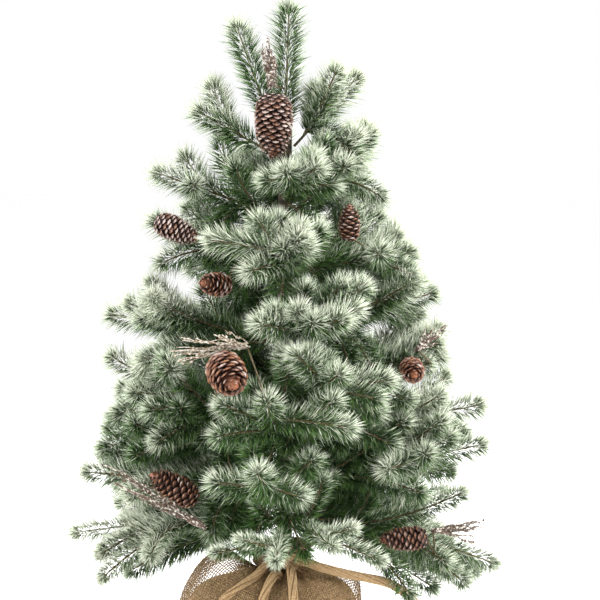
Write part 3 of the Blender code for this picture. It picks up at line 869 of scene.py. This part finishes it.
# Each branch: height of its bend, how far its wire arches, then its tips, the leading one first.
# A tip's end is (bearing in degrees, reach, height); bearing 0 is +X and -90 is the front.
BRANCHES = {
    "branch_low_left": (150, 4, [(184, 197, 138), (216, 140, 127), (163, 150, 146)]),
    "branch_low_right": (153, 8, [(-5, 196, 108), (-22, 152, 118), (14, 150, 124)]),
    "branch_low_front_left": (143, 4, [(-93, 150, 131), (-122, 124, 136), (-110, 128, 152)]),
    "branch_low_front_right": (152, 2, [(-72, 144, 142), (-48, 132, 126), (-60, 128, 160)]),
    "branch_low_back_left": (147, 4, [(132, 178, 134), (112, 150, 126), (148, 140, 150)]),
    "branch_low_back_right": (151, 4, [(50, 178, 130), (70, 150, 124), (32, 146, 148)]),
    "branch_lower_left": (176, 0, [(189, 186, 196), (207, 150, 178), (173, 150, 186)]),
    "branch_lower_right": (
        181, 0, [(3, 186, 217), (-31, 141, 216), (-48, 122, 203), (20, 150, 190)]),
    "branch_lower_front": (178, -9, [(-99, 152, 213), (-122, 122, 196), (-80, 116, 182)]),
    "branch_lower_back_left": (174, 0, [(143, 170, 198), (122, 140, 184), (158, 130, 208)]),
    "branch_lower_back_right": (179, 0, [(62, 168, 196), (84, 142, 184), (44, 140, 206)]),
    "branch_mid_left": (213, 0, [(175, 167, 229), (211, 102, 257), (195, 135, 238)]),
    "branch_mid_right": (218, 0, [(-8, 183, 255), (-21, 146, 266), (10, 140, 248)]),
    "branch_mid_front": (215, -6, [(-97, 132, 272), (-121, 112, 262), (-62, 128, 240)]),
    "branch_mid_back_left": (211, 0, [(128, 158, 246), (108, 130, 238), (148, 130, 252)]),
    "branch_mid_back_right": (220, 0, [(70, 156, 250), (50, 135, 262), (89, 120, 262)]),
    "branch_waist_left": (252, 0, [(171, 158, 262), (186, 155, 296), (218, 118, 290)]),
    "branch_waist_right": (258, 0, [(4, 143, 306), (-15, 130, 288), (24, 130, 290)]),
    "branch_waist_front": (255, -4, [(-66, 124, 290), (-40, 122, 278), (-88, 108, 306)]),
    "branch_waist_back": (261, 0, [(100, 146, 292), (124, 130, 282), (78, 130, 300)]),
    "branch_upper_left": (304, 0, [(177, 164, 330), (191, 141, 342), (211, 127, 349)]),
    "branch_upper_right": (310, 0, [(0, 140, 351), (-14, 123, 365), (20, 118, 348)]),
    "branch_upper_front": (306, -3, [(-76, 114, 332), (-104, 109, 328), (-50, 104, 340)]),
    "branch_upper_back": (312, 0, [(96, 128, 342), (126, 118, 334), (66, 118, 350)]),
    "branch_high_left": (360, 0, [(184, 124, 415), (200, 116, 372), (160, 100, 398)]),
    "branch_high_right": (366, 0, [(-7, 121, 384), (12, 102, 406), (-38, 98, 384)]),
    "branch_high_front": (362, -3, [(-90, 86, 395), (-112, 94, 367), (-136, 96, 396)]),
    "branch_high_back": (369, 0, [(90, 104, 400), (122, 98, 392), (58, 96, 408)]),
    "branch_crown_left": (414, 0, [(181, 121, 455), (170, 92, 470), (204, 84, 440)]),
    "branch_crown_right": (418, 0, [(4, 76, 477), (-16, 91, 427), (30, 80, 448)]),
    "branch_crown_front": (420, 0, [(-76, 60, 458), (-44, 66, 440), (-112, 62, 444)]),
    "branch_crown_back": (423, 0, [(98, 82, 458), (130, 74, 452), (66, 74, 464)]),
    "shoot_shoulder": (466, 0, [(178, 84, 509), (166, 66, 533)]),
    "shoot_left": (480, 3, [(176, 46, 587)]),
    "shoot_right": (474, 0, [(0, 70, 542), (60, 50, 520)]),
}
print(len(BRANCHES), "branches with", sum(len(row[2]) for row in BRANCHES.values()), "tips of their own")

# %% How frosted, how full and how long each branch is
# How much frost each branch carries, from 0 to 1, where it differs from most.
FROST = {
    "branch_mid_left": 0.38, "branch_lower_left": 0.8, "branch_low_left": 0.98,
    "branch_low_right": 0.7, "branch_lower_right": 0.66, "branch_mid_right": 0.72,
    "branch_lower_front": 0.5, "branch_mid_front": 0.52, "branch_waist_front": 0.64,
    "branch_upper_front": 0.66,
    "shoot_right": 1.0, "shoot_left": 0.72, "shoot_shoulder": 0.75, "branch_crown_left": 0.7,
    "branch_crown_right": 0.85,
}
MOST_FROST = 0.74
# The lowest branches, next to the sack, have shorter needles.
SHORT_NEEDLES = {
    "branch_low_front_left": 14 * MM, "branch_low_front_right": 15 * MM, "branch_low_left": 18 * MM,
    "branch_low_right": 19 * MM,
}
# How many short tips a branch has, as a share of the usual, where it differs.
FULLNESS = {
    "branch_lower_front": 0.12, "branch_mid_front": 0.3, "branch_low_front_left": 0.0,
    "branch_low_front_right": 0.0, "branch_waist_front": 0.7, "branch_crown_front": 1.5,
    "branch_high_front": 1.4, "branch_upper_front": 1.2, "branch_crown_right": 1.6,
    "branch_crown_left": 1.5, "branch_high_right": 1.6, "branch_high_left": 1.8,
    "branch_crown_back": 2.2, "branch_high_back": 2.2, "branch_upper_back": 2.0,
    "branch_waist_back": 1.8, "branch_mid_back_left": 1.5, "branch_mid_back_right": 1.5,
    "branch_lower_back_left": 1.6, "branch_lower_back_right": 1.6, "branch_low_back_left": 1.5,
    "branch_low_back_right": 1.5, "branch_upper_left": 1.3, "branch_waist_left": 1.3,
    "branch_mid_left": 1.3,
}
# The tree is shallower from front to back than it is wide.
OUTLINE_SQUEEZE = 1.28
# The tree's outline: heights, and how far it reaches at each. Frost is thickest out there.
OUTLINE_HEIGHTS = np.array([110, 160, 300, 450, 560, 610]) * MM
OUTLINE_REACHES = np.array([192, 192, 160, 112, 62, 20]) * MM
OUTLINE_MARGIN = 14 * MM

# %% Room for the cones and the twigs
ORNAMENT_ROOM = 9 * MM
FRONT_ROOM = 140 * MM
ornament_boxes = []
for node in frame["nodes"]:
    if node.startswith(("cone_", "twigs_")):
        low, high = (np.array(corner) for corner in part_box(node))
        low, high = low - ORNAMENT_ROOM, high + ORNAMENT_ROOM
        if high[1] < 0 and "inner" not in node:
            low[1] -= FRONT_ROOM
            high[1] -= ORNAMENT_ROOM
        ornament_boxes.append((low, high))
print("boxes kept clear of short tips:", len(ornament_boxes))


def outline_share(places):
    """How far out places (n, 3) lie: 0 at the pole and 1 on the tree's outline."""
    reach = np.hypot(places[:, 0], places[:, 1] * OUTLINE_SQUEEZE)
    return reach / np.interp(places[:, 2], OUTLINE_HEIGHTS, OUTLINE_REACHES)


def sticks_out(wire):
    """Whether a wire would end outside the tree's outline."""
    end = wire[-1]
    limit = np.interp(end[2], OUTLINE_HEIGHTS, OUTLINE_REACHES) - OUTLINE_MARGIN
    return np.hypot(end[0], end[1] * OUTLINE_SQUEEZE) > limit


def hides_ornament(wire):
    """Whether a wire would pass through a cone or a spray of twigs, or just in front of it."""
    for low, high in ornament_boxes:
        near = np.abs(wire - (low + high) / 2) < (high - low) / 2
        if near.all(axis=1).any():
            return True
    return False


# %% Wires of a branch
# Where along the main wire its side tips leave it.
FORKS = (0.38, 0.55, 0.30)
FILLER_SPACING = 13 * MM
FILLER_TRIES = 8
# How many short tips stand round the pole at each branch, where its fullness is 1.
COLLAR_TIPS = 2.4
joint_places = {joint["child"]: np.array(joint["pos_m"]) for joint in frame["joints"] if joint.get("pos_m")}


def at_bearing(bearing, reach, height):
    """A point from its bearing in degrees and its reach and height in millimetres."""
    angle = math.radians(bearing)
    return np.array([reach * math.cos(angle), reach * math.sin(angle), height]) * MM


def main_wire(name):
    """The main wire's points, from the branch's bend to its leading tip."""
    _, arch, tips = BRANCHES[name]
    start, end = joint_places[name], at_bearing(*tips[0])
    share = np.linspace(0, 1, 101)[:, None]
    return start + (end - start) * share + np.array([0, 0, 4 * arch * MM]) * share * (1 - share)


def curve_between(start, handle, end, count):
    """Points on a curve that leaves its start towards a handle and bends round to its end."""
    share = np.linspace(0, 1, count)[:, None]
    return start * (1 - share) ** 2 + handle * 2 * share * (1 - share) + end * share**2


def side_wire(name, number):
    """A side tip's points: it leaves the main wire along it and turns out to its own end."""
    main = main_wire(name)
    fork = round(FORKS[number] * 100)
    start = main[fork]
    end = at_bearing(*BRANCHES[name][2][number + 1])
    along = unit(main[fork + 1] - start)
    handle = start + along * 0.35 * np.linalg.norm(end - start)
    return curve_between(start, handle, end, 61)


def filler_wire(main, share, side_sign, rng):
    """One short tip that leaves a main wire at a share along it, to one side."""
    whole = np.linalg.norm(main[-1] - main[0])
    start = main[round(share * 100)]
    along = unit(main[round(share * 100) + 1] - start)
    side = unit(np.cross(along, (0, 0, 1))) * side_sign
    turn = math.radians(rng.uniform(30, 56) - 30 * share)
    rise = np.array([0, 0, rng.uniform(-0.9, 1.4)])
    heading = unit(along * math.cos(turn) + unit(side + rise) * math.sin(turn))
    length = (1 - share) * whole * rng.uniform(0.5, 0.78) + 26 * MM
    handle = start + unit(along + heading) * 0.4 * length
    return curve_between(start, handle, start + heading * length, 31)


def collar_wire(main, rise, rng):
    """A short tip close to the pole that climbs or droops, and so fills the space between tiers."""
    spot = rng.integers(10, 30)
    start = main[spot]
    along = unit(main[spot + 1] - start)
    side = unit(np.cross(along, (0, 0, 1))) * rng.uniform(-0.8, 0.8)
    heading = unit(along * rng.uniform(0.35, 0.8) + side + np.array([0, 0, rise]))
    length = rng.uniform(48, 72) * MM
    handle = start + unit(along + heading) * 0.4 * length
    return curve_between(start, handle, start + heading * length, 31)


def filler_wires(name, rng):
    """Short tips between a branch's own, which leave its main wire to either side by turns."""
    main = main_wire(name)
    count = round(np.linalg.norm(main[-1] - main[0]) / FILLER_SPACING * FULLNESS.get(name, 1))
    found = []
    for number, share in enumerate(np.linspace(0.02, 0.76, count)):
        for attempt in range(FILLER_TRIES):
            wire = filler_wire(main, share, 1 if (number + attempt) % 2 else -1, rng)
            if not (hides_ornament(wire) or sticks_out(wire)):
                found.append(wire)
                break
    for number in range(max(3, round(COLLAR_TIPS * FULLNESS.get(name, 1)))):
        climbs = number % 2 or name.startswith("branch_low_")
        wire = collar_wire(main, 1 if climbs else -1, rng)
        if not (hides_ornament(wire) or sticks_out(wire)):
            found.append(wire)
    return found


# %% Brushes of needles
NEEDLE_LENGTH = 22.5 * MM
LEADER_NEEDLE = 24 * MM
NEEDLES_PER_METRE = 6400
CROWN_NEEDLES_PER_METRE = 9500
TUFT_LENGTH = 12 * MM
STEM_RADIUS = 1.0 * MM
# How much of a wire is bare at its root: on a branch, on a side tip, and on the leader.
BARE_WIRE = 16 * MM
BARE_TIP = 4 * MM
BARE_LEADER = 2 * MM


def add_stem(sheaf, line, run, stem_end):
    """The wound wire that a brush's needles stand on, which thins towards its end."""
    spots = np.linspace(0, stem_end, max(3, int(stem_end / (7 * MM))))
    stem = np.stack([np.interp(spots, run, line[:, axis]) for axis in range(3)], axis=1)
    add_tube(sheaf, stem, np.linspace(1.25, 0.7, len(stem)) * STEM_RADIUS, 5, STEM_STRIP, slot=1)


def needle_spots(bare, stem_end, density, rng):
    """How far along its stem each needle stands, and which of them make the tuft at its end."""
    count = int((stem_end - bare) * density)
    ends = int(1.2 * TUFT_LENGTH * density)
    spots = np.concatenate([
        np.linspace(bare, stem_end, count, endpoint=False),
        np.linspace(stem_end - TUFT_LENGTH * 0.5, stem_end, ends),
    ])
    spots = np.clip(spots + rng.normal(0, 0.5 * MM, len(spots)), bare, stem_end)
    return spots, np.arange(len(spots)) >= count


def needle_directions(ahead, radial, tuft, rng):
    """Where needles point: forward along the stem, and more so in the tuft."""
    count = len(ahead)
    slope = np.radians(rng.normal(57, 7, count))
    slope = np.where(tuft, np.radians(50) * rng.random(count) ** 0.7, slope)
    return unit(ahead * np.cos(slope)[:, None] + radial * np.sin(slope)[:, None])


def needle_copies(base, direction, radial, size, rng):
    """Copies of the needle at their places, each with its own length, width and bow."""
    count = len(base)
    bow = unit(np.cross(direction, np.cross(radial, direction)))
    flank = np.cross(direction, bow)
    bend = rng.uniform(0.4, 1.9, count)[:, None, None]
    wide = (NEEDLE_WIDTH * rng.uniform(0.85, 1.15, count))[:, None, None]
    return (
        base[:, None]
        + bow[:, None] * (needle_points[None, :, 0:1] * bend * wide)
        + flank[:, None] * (needle_points[None, :, 1:2] * wide)
        + direction[:, None] * (needle_points[None, :, 2:3] * size[:, None, None])
    )


def add_brush(sheaf, line, frost, rng, bare=0.0, length=NEEDLE_LENGTH, density=NEEDLES_PER_METRE):
    """A wound stem with its needles, from a point a bare length along it to its end."""
    line = smooth_route(line[:: max(1, len(line) // 12)], 4 * MM)
    run, forward, across, up = route_frames(line)
    total = run[-1]
    stem_end = total - TUFT_LENGTH * 0.7
    add_stem(sheaf, line, run, stem_end)
    spots, tuft = needle_spots(bare, stem_end, density, rng)
    count = len(spots)
    turn = np.arange(count) * GOLDEN_ANGLE + rng.normal(0, 0.25, count)
    at = [np.stack([np.interp(spots, run, field[:, axis]) for axis in range(3)], axis=1)
          for field in (line, forward, across, up)]
    base, ahead, side, lift = at[0], unit(at[1]), unit(at[2]), unit(at[3])
    radial = side * np.cos(turn)[:, None] + lift * np.sin(turn)[:, None]
    direction = needle_directions(ahead, radial, tuft, rng)
    # Needles get shorter where the tuft closes, and where they begin at the bare wire.
    closing = np.clip((spots - (stem_end - TUFT_LENGTH * 1.1)) / (TUFT_LENGTH * 1.1), 0, 1)
    size = length * rng.uniform(0.78, 1.08, count) * (1 - 0.24 * closing)
    size = size * np.clip(0.55 + (spots - bare) / (30 * MM), 0, 1)
    points = needle_copies(base, direction, radial, size, rng)
    # Frost settles on what points up, on the outside of the tree, and towards the end of a tip.
    level = frost + 0.22 * direction[:, 2] + 0.1 * (spots / total - 0.6)
    level = level + 0.95 * (outline_share(base) - 0.75) + rng.normal(0, 0.22, count)
    level = palette_step(level + 0.12 * tuft, FROSTS)
    shade = palette_step(rng.normal(0.45, 0.3, count), SHADES)
    strip = level * SHADES + shade
    add_palette_copies(sheaf, points, needle_faces, strip, SHADES * FROSTS, needle_u, needle_v)
    return count


# %% A brush on every wire
needle_total = 0
for number, name in enumerate(BRANCHES):
    rng = np.random.default_rng(100 + number)
    brushes = Sheaf()
    frost = FROST.get(name, MOST_FROST)
    density = CROWN_NEEDLES_PER_METRE if name.startswith("shoot") else NEEDLES_PER_METRE
    style = {"density": density, "length": SHORT_NEEDLES.get(name, NEEDLE_LENGTH)}
    needle_total += add_brush(brushes, main_wire(name), frost, rng, bare=BARE_WIRE, **style)
    for side_number in range(len(BRANCHES[name][2]) - 1):
        side_frost = min(1, frost + rng.uniform(-0.05, 0.18))
        line = side_wire(name, side_number)
        needle_total += add_brush(brushes, line, side_frost, rng, bare=BARE_TIP, **style)
    for line in filler_wires(name, rng):
        side_frost = min(1, frost + rng.uniform(-0.15, 0.12))
        needle_total += add_brush(brushes, line, side_frost, rng, bare=BARE_TIP, **style)
    piece = brushes.mesh_object(name + "_needles", "OFBake", [needle_finish, stem_finish])
    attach(piece, name)
    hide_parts(name)
print(needle_total, "needles on", len(BRANCHES), "branches")

# %% [markdown]
# The leader stands on the pole's top and is the fullest brush of all.

# %% Leader
LEADER_TOP = np.array([4, 0, 606]) * MM
LEADER_FROST = 1.1
rng = np.random.default_rng(99)
leader = Sheaf()
leader_wire = np.linspace(joint_places["leader"], LEADER_TOP, 60)
needle_total += add_brush(leader, leader_wire, LEADER_FROST, rng, bare=BARE_LEADER,
                          length=LEADER_NEEDLE, density=CROWN_NEEDLES_PER_METRE)
leader = leader.mesh_object("leader_needles", "OFBake", [needle_finish, stem_finish])
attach(leader, "leader")
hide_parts("leader")
print(needle_total, "needles with the leader's")

# %% [markdown]
# ## Cones
#
# The cones are natural ones: a woody core with scales in a golden-angle spiral, overlapping like
# roof tiles. A scale is modelled once, from an eight-sided disc that is narrowed at its foot,
# thickened by an inset and curled up at its lip. The copies differ in size and lean.

# %% One scale
deselect_all()
bpy.ops.mesh.primitive_cylinder_add(vertices=8, radius=0.5, depth=0.14, location=(0.5, 0, 0))
bpy.ops.object.transform_apply(location=True, rotation=False, scale=False)
scale = bpy.context.object
select_points(scale, lambda place: place.z > 0)
bpy.ops.mesh.inset(thickness=0.17, depth=0.07)
select_points(scale, lambda place: place.x < 0.3)
bpy.ops.transform.resize(value=(1, 0.5, 1.1), center_override=(0, 0, 0))
select_points(scale, lambda place: place.x > 0.8)
bpy.ops.transform.translate(value=(0, 0, 0.13))
bpy.ops.mesh.select_all(action="SELECT")
bpy.ops.mesh.quads_convert_to_tris()
bpy.ops.object.mode_set(mode="OBJECT")
scale_points = np.array([point.co for point in scale.data.vertices])
scale_faces = np.array([face.vertices for face in scale.data.polygons])
bpy.data.objects.remove(scale)
scale_corners = scale_points[scale_faces]
scale_u = 0.5 + 0.7 * scale_corners[..., 1]
scale_v = 0.04 + 0.9 * scale_corners[..., 0] + 0.03 * scale_corners[..., 2]
print("scale:", len(scale_points), "points and", len(scale_faces), "faces")

# %% Cone finish
TONES = 6
CRUSTS = 6
tree, shader, cone_finish = shader_material("frosted_cone", roughness=0.5)
along, crust, tone = read_palette(tree, TONES, CRUSTS)
dark = ramp_of(tree, along, (0.5, (0.012, 0.004, 0.002)), (0.8, (0.06, 0.018, 0.008)),
               (0.96, (0.22, 0.070, 0.026)))
light = ramp_of(tree, along, (0.5, (0.025, 0.009, 0.004)), (0.8, (0.12, 0.045, 0.02)),
                (0.96, (0.37, 0.17, 0.08)))
wood = mixed(tree, tone, dark, light)
edge = sum_of(tree, "SUBTRACT", 1.05, sum_of(tree, "MULTIPLY", crust, 0.5))
cover = sum_of(tree, "DIVIDE", sum_of(tree, "SUBTRACT", along, edge), 0.25, clamp=True)
cover = sum_of(tree, "MULTIPLY", cover, 0.7)
coloured(tree, shader, mixed(tree, cover, wood, (0.66, 0.55, 0.50, 1)))

# %% [markdown]
# Each cone hangs or stands on its branch by a thin wire. Its place, length and width are those of
# its core in the frame.

# %% Cones
# Each cone: branch, centre, direction from stem end to narrow end, length, radius, scales, frost.
CONES = {
    "cone_top": (None, (-9.5, -33, 489.5), (0, 0, -1), 60, 16.5, 210, 0.62),
    "cone_front": ("branch_mid_front", (-46, -112, 284), (0.3, -0.85, -0.4), 46, 16, 110, 0.3),
    "cone_low_left": ("branch_lower_left", (-95, -60, 186), (-0.86, -0.1, 0.5), 50, 12, 110, 0.3),
    "cone_low_right": ("branch_low_right", (100, -56, 141), (-1, 0, -0.05), 44, 10.5, 100, 0.35),
    "cone_right": ("branch_waist_right", (108, -62, 284), (0.1, -0.95, -0.2), 34, 10, 80, 0.3),
    "cone_high_left": ("branch_high_left", (-91, -30, 402), (0.9, -0.1, -0.4), 44, 11, 130, 0.8),
    "cone_inner_left": ("branch_high_left", (-60, -50, 357), (-0.6, -0.7, 0.1), 36, 10, 80, 0.4),
    "cone_inner_right": ("branch_high_right", (55, -38, 410), (0, -0.2, 1), 34, 9, 80, 0.5),
    "cone_back": ("branch_high_back", (-20, 88, 372.5), (-0.3, 0.85, -0.3), 42, 11.5, 90, 0.6),
}
CONE_WIRE = 0.8 * MM
# A cone's outline, from its stem end at 0 to its narrow end at 1: widths as shares of the widest.
CONE_PLACES = (0, 0.06, 0.2, 0.45, 0.7, 0.88, 1)
CONE_WIDTHS = (0.45, 0.72, 0.95, 1.0, 0.88, 0.62, 0.2)
# How far its scales lean out from its axis along the same way, in degrees.
LEAN_PLACES = (0, 0.15, 0.8, 1)
LEANS = (78, 46, 36, 12)
# A cone of more scales has smaller ones: their length and spacing go by the root of their number.
SCALE_LENGTH = 6.5
SCALE_SPACING = 0.72
SHORTEST_SCALE = 2.6 * MM


def square_frame(direction):
    """A unit direction, and two more at right angles to it."""
    ahead = unit(np.array(direction, float))
    helper = np.array([0, 1.0, 0]) if abs(ahead[2]) > 0.9 else np.array([0, 0, 1.0])
    across = unit(np.cross(helper, ahead))
    return ahead, across, np.cross(ahead, across)


def nearest_wire_point(branch, place):
    """The point of a branch's own wires, or of the leader's, that is nearest to a place."""
    if branch is None:
        wires = [leader_wire]
    else:
        wires = [main_wire(branch)] + [side_wire(branch, n) for n in range(len(BRANCHES[branch][2]) - 1)]
    points = np.concatenate(wires)
    return points[np.argmin(np.linalg.norm(points - place, axis=1))]


def add_core(sheaf, stem_end, ahead, length, radius):
    """The cone's solid middle, which shows between its scales."""
    shares = np.linspace(0.0, 1.0, 13)
    core = stem_end + ahead * length * (0.03 + 0.9 * shares[:, None])
    radii = np.interp(shares, CONE_PLACES, CONE_WIDTHS) * radius * 0.6
    add_tube(sheaf, core, radii, 12, (0.0, 0.02))


def scale_copies(stem_end, directions, length, radius, scales, rng):
    """Copies of the scale in a golden-angle spiral, from the cone's stem end to its narrow end."""
    ahead, across, up = directions
    share = (np.arange(scales) + 0.5) / scales
    turn = np.arange(scales) * GOLDEN_ANGLE + rng.normal(0, 0.05, scales)
    outward = across * np.cos(turn)[:, None] + up * np.sin(turn)[:, None]
    lean = np.radians(np.interp(share, LEAN_PLACES, LEANS) + rng.normal(0, 6, scales))
    pointing = ahead * np.cos(lean)[:, None] + outward * np.sin(lean)[:, None]
    upper = unit(np.cross(np.cross(pointing, outward), pointing))
    flank = np.cross(upper, pointing)
    width = np.interp(share, CONE_PLACES, CONE_WIDTHS) * radius
    size = np.clip(width * SCALE_LENGTH / scales**0.5, SHORTEST_SCALE, None)
    size = size * rng.uniform(0.9, 1.08, scales)
    tips = (stem_end + ahead * (length * (0.02 + 0.93 * share))[:, None]
            + outward * (width - 0.02 * radius)[:, None])
    foot = tips - pointing * size[:, None]
    broad = 2 * math.pi * np.clip(width, 3 * MM, None) / (SCALE_SPACING * scales**0.5)
    broad = np.minimum(broad, size * 1.05)
    return (
        foot[:, None]
        + pointing[:, None] * scale_points[None, :, 0:1] * size[:, None, None]
        + flank[:, None] * scale_points[None, :, 1:2] * broad[:, None, None]
        + upper[:, None] * scale_points[None, :, 2:3] * size[:, None, None]
    )


def make_cone(name, number):
    """A cone with its core, scales and fixing wire. It gives back how many faces it has."""
    branch, centre, direction, length, radius, scales, frost = CONES[name]
    rng = np.random.default_rng(300 + number)
    directions = square_frame(direction)
    ahead = directions[0]
    centre, length, radius = np.array(centre) * MM, length * MM, radius * MM
    stem_end = centre - ahead * length / 2
    sheaf = Sheaf()
    add_core(sheaf, stem_end, ahead, length, radius)
    points = scale_copies(stem_end, directions, length, radius, scales, rng)
    crust = palette_step(frost + rng.normal(0, 0.18, scales), CRUSTS)
    tone = palette_step(0.5 + rng.normal(0, 0.28, scales), TONES)
    strip = crust * TONES + tone
    add_palette_copies(sheaf, points, scale_faces, strip, TONES * CRUSTS, scale_u, scale_v)
    hold = nearest_wire_point(branch, stem_end)
    wire = np.linspace(stem_end + ahead * 3 * MM, hold, 6)
    add_tube(sheaf, wire, np.full(6, CONE_WIRE), 6, STEM_STRIP, slot=1)
    piece = sheaf.mesh_object(name + "_scales", "OFBake", [cone_finish, stem_finish])
    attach(piece, branch or "leader")
    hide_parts(name)
    return len(piece.data.polygons)


print("cones:", [make_cone(name, number) for number, name in enumerate(CONES)], "faces")

# %% [markdown]
# ## Twigs
#
# Sprays of dry lichen-grown twigs stand beside the cones, dusted with frost. A twig is a thin
# wandering tube with buds along it. The bud is a small ball that is squeezed and copied.

# %% One bud
deselect_all()
bpy.ops.mesh.primitive_ico_sphere_add(subdivisions=1, radius=1, location=(0, 0, 0))
bud = bpy.context.object
bpy.ops.object.mode_set(mode="EDIT")
bpy.ops.transform.resize(value=(1, 0.8, 1.5), center_override=(0, 0, 0))
bpy.ops.object.mode_set(mode="OBJECT")
bud_points = np.array([point.co for point in bud.data.vertices])
bud_faces = np.array([face.vertices for face in bud.data.polygons])
bpy.data.objects.remove(bud)

# %% Twig finish


def twig_material(name, bark, pale, frosting):
    """Rough bark with patches of frost over it, by noise in the object's own space."""
    tree, shader, material = shader_material(name, roughness=0.85)
    patches = object_noise(tree, 420.0, detail=3.0)
    fine = object_noise(tree, 1500.0, detail=2.0)
    wood = ramp_of(tree, fine, (0.35, bark), (0.65, pale))
    above = sum_of(tree, "SUBTRACT", patches, 0.62 - 0.3 * frosting)
    cover = sum_of(tree, "DIVIDE", above, 0.12, clamp=True)
    coloured(tree, shader, mixed(tree, cover, wood, (0.66, 0.61, 0.53, 1)))
    bumped(tree, shader, fine, 0.8, 0.0006)
    return material


grey_twig = twig_material("grey_twig", (0.045, 0.026, 0.018), (0.17, 0.11, 0.08), 0.35)
pale_twig = twig_material("lichen_twig", (0.16, 0.10, 0.06), (0.44, 0.35, 0.24), 0.55)

tree, shader, fixing_wire = shader_material("fixing_wire", roughness=0.6)
paint = object_noise(tree, 700.0, detail=2.0)
coloured(tree, shader, ramp_of(tree, paint, (0.4, WIRE_DARK), (0.6, WIRE_LIGHT)))
bumped(tree, shader, paint, 0.3, 0.0002)

# %% Twigs
# Each spray: branch, foot, the ends of its twigs, strands for each end, material.
TWIGS = {
    "twigs_top": (
        None, (-11, -30, 525), [(-19, -31, 556), (-14, -27, 563), (-9, -36, 552)], 7, grey_twig),
    "twigs_front": (
        "branch_mid_front", (-31, -96, 308),
        [(-95, -90, 303), (-84, -99, 313), (-88, -80, 295), (-58, -105, 318)], 4, pale_twig),
    "twigs_low_left": (
        "branch_lower_left", (-66, -90, 156),
        [(-152, -92, 209), (-142, -97, 194), (-128, -91, 187), (-138, -88, 204)], 3, grey_twig),
    "twigs_low_right": (
        "branch_low_right", (126, -53, 147),
        [(166, -46, 155), (169, -40, 148), (160, -52, 143)], 5, grey_twig),
    "twigs_right": (
        "branch_waist_right", (112, -50, 302),
        [(137, -44, 322), (127, -52, 319), (134, -36, 313)], 4, grey_twig),
}
BUD_SIZE = 1.1 * MM
STRAND_SPREAD = 3.5 * MM


def add_buds(sheaf, line, count, size, rng):
    """Buds along a twig, more of them towards its end, each turned its own way."""
    spots = rng.random(count) ** 0.8 * (len(line) - 1)
    steps = np.arange(len(line))
    base = np.stack([np.interp(spots, steps, line[:, axis]) for axis in range(3)], axis=1)
    base = base + rng.normal(0, 0.35 * size, (count, 3))
    for place in base:
        ahead, across, up = square_frame(rng.normal(0, 1, 3))
        turned = bud_points @ np.stack([across, up, ahead]) * size * rng.uniform(0.6, 1.3)
        maps = np.full((len(bud_faces), 3, 2), 0.5)
        sheaf.add(place + turned, bud_faces, maps)


def add_strand(sheaf, foot, end, leads, rng):
    """One twig with its buds. The leading one goes right to its end, and the others stray."""
    spread = 0 if leads else STRAND_SPREAD
    tip = end + rng.normal(0, spread, 3) * (1, 0.6, 1)
    tip = foot + (tip - foot) * (1 if leads else rng.uniform(0.7, 1))
    root = foot + rng.normal(0, 0.4 * spread, 3)
    line = root + (tip - root) * np.linspace(0, 1, 8)[:, None]
    line[1:-1] += rng.normal(0, 1.0 * MM, (6, 3))
    line = smooth_route(line, 2.5 * MM)
    thick = 1.15 if leads else rng.uniform(0.55, 0.9)
    radii = np.linspace(1, 0.45, len(line)) * thick * MM * rng.uniform(0.8, 1.25, len(line))
    add_tube(sheaf, line, radii, 6, (0.1, 0.9))
    add_buds(sheaf, line, 6, BUD_SIZE, rng)


def make_spray(name, number):
    """A bundle of twigs with its fixing wire. It gives back how many faces it has."""
    branch, foot, ends, strands, material = TWIGS[name]
    rng = np.random.default_rng(400 + number)
    sheaf = Sheaf()
    foot = np.array(foot) * MM
    for end in ends:
        for strand in range(strands):
            add_strand(sheaf, foot, np.array(end) * MM, strand == 0, rng)
    hold = nearest_wire_point(branch, foot)
    add_tube(sheaf, np.linspace(foot, hold, 5), np.full(5, CONE_WIRE), 6, STEM_STRIP, slot=1)
    piece = sheaf.mesh_object(name + "_spray", "along", [material, fixing_wire])
    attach(piece, branch or "leader")
    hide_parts(name)
    return len(piece.data.polygons)


print("twigs:", [make_spray(name, number) for number, name in enumerate(TWIGS)], "faces")
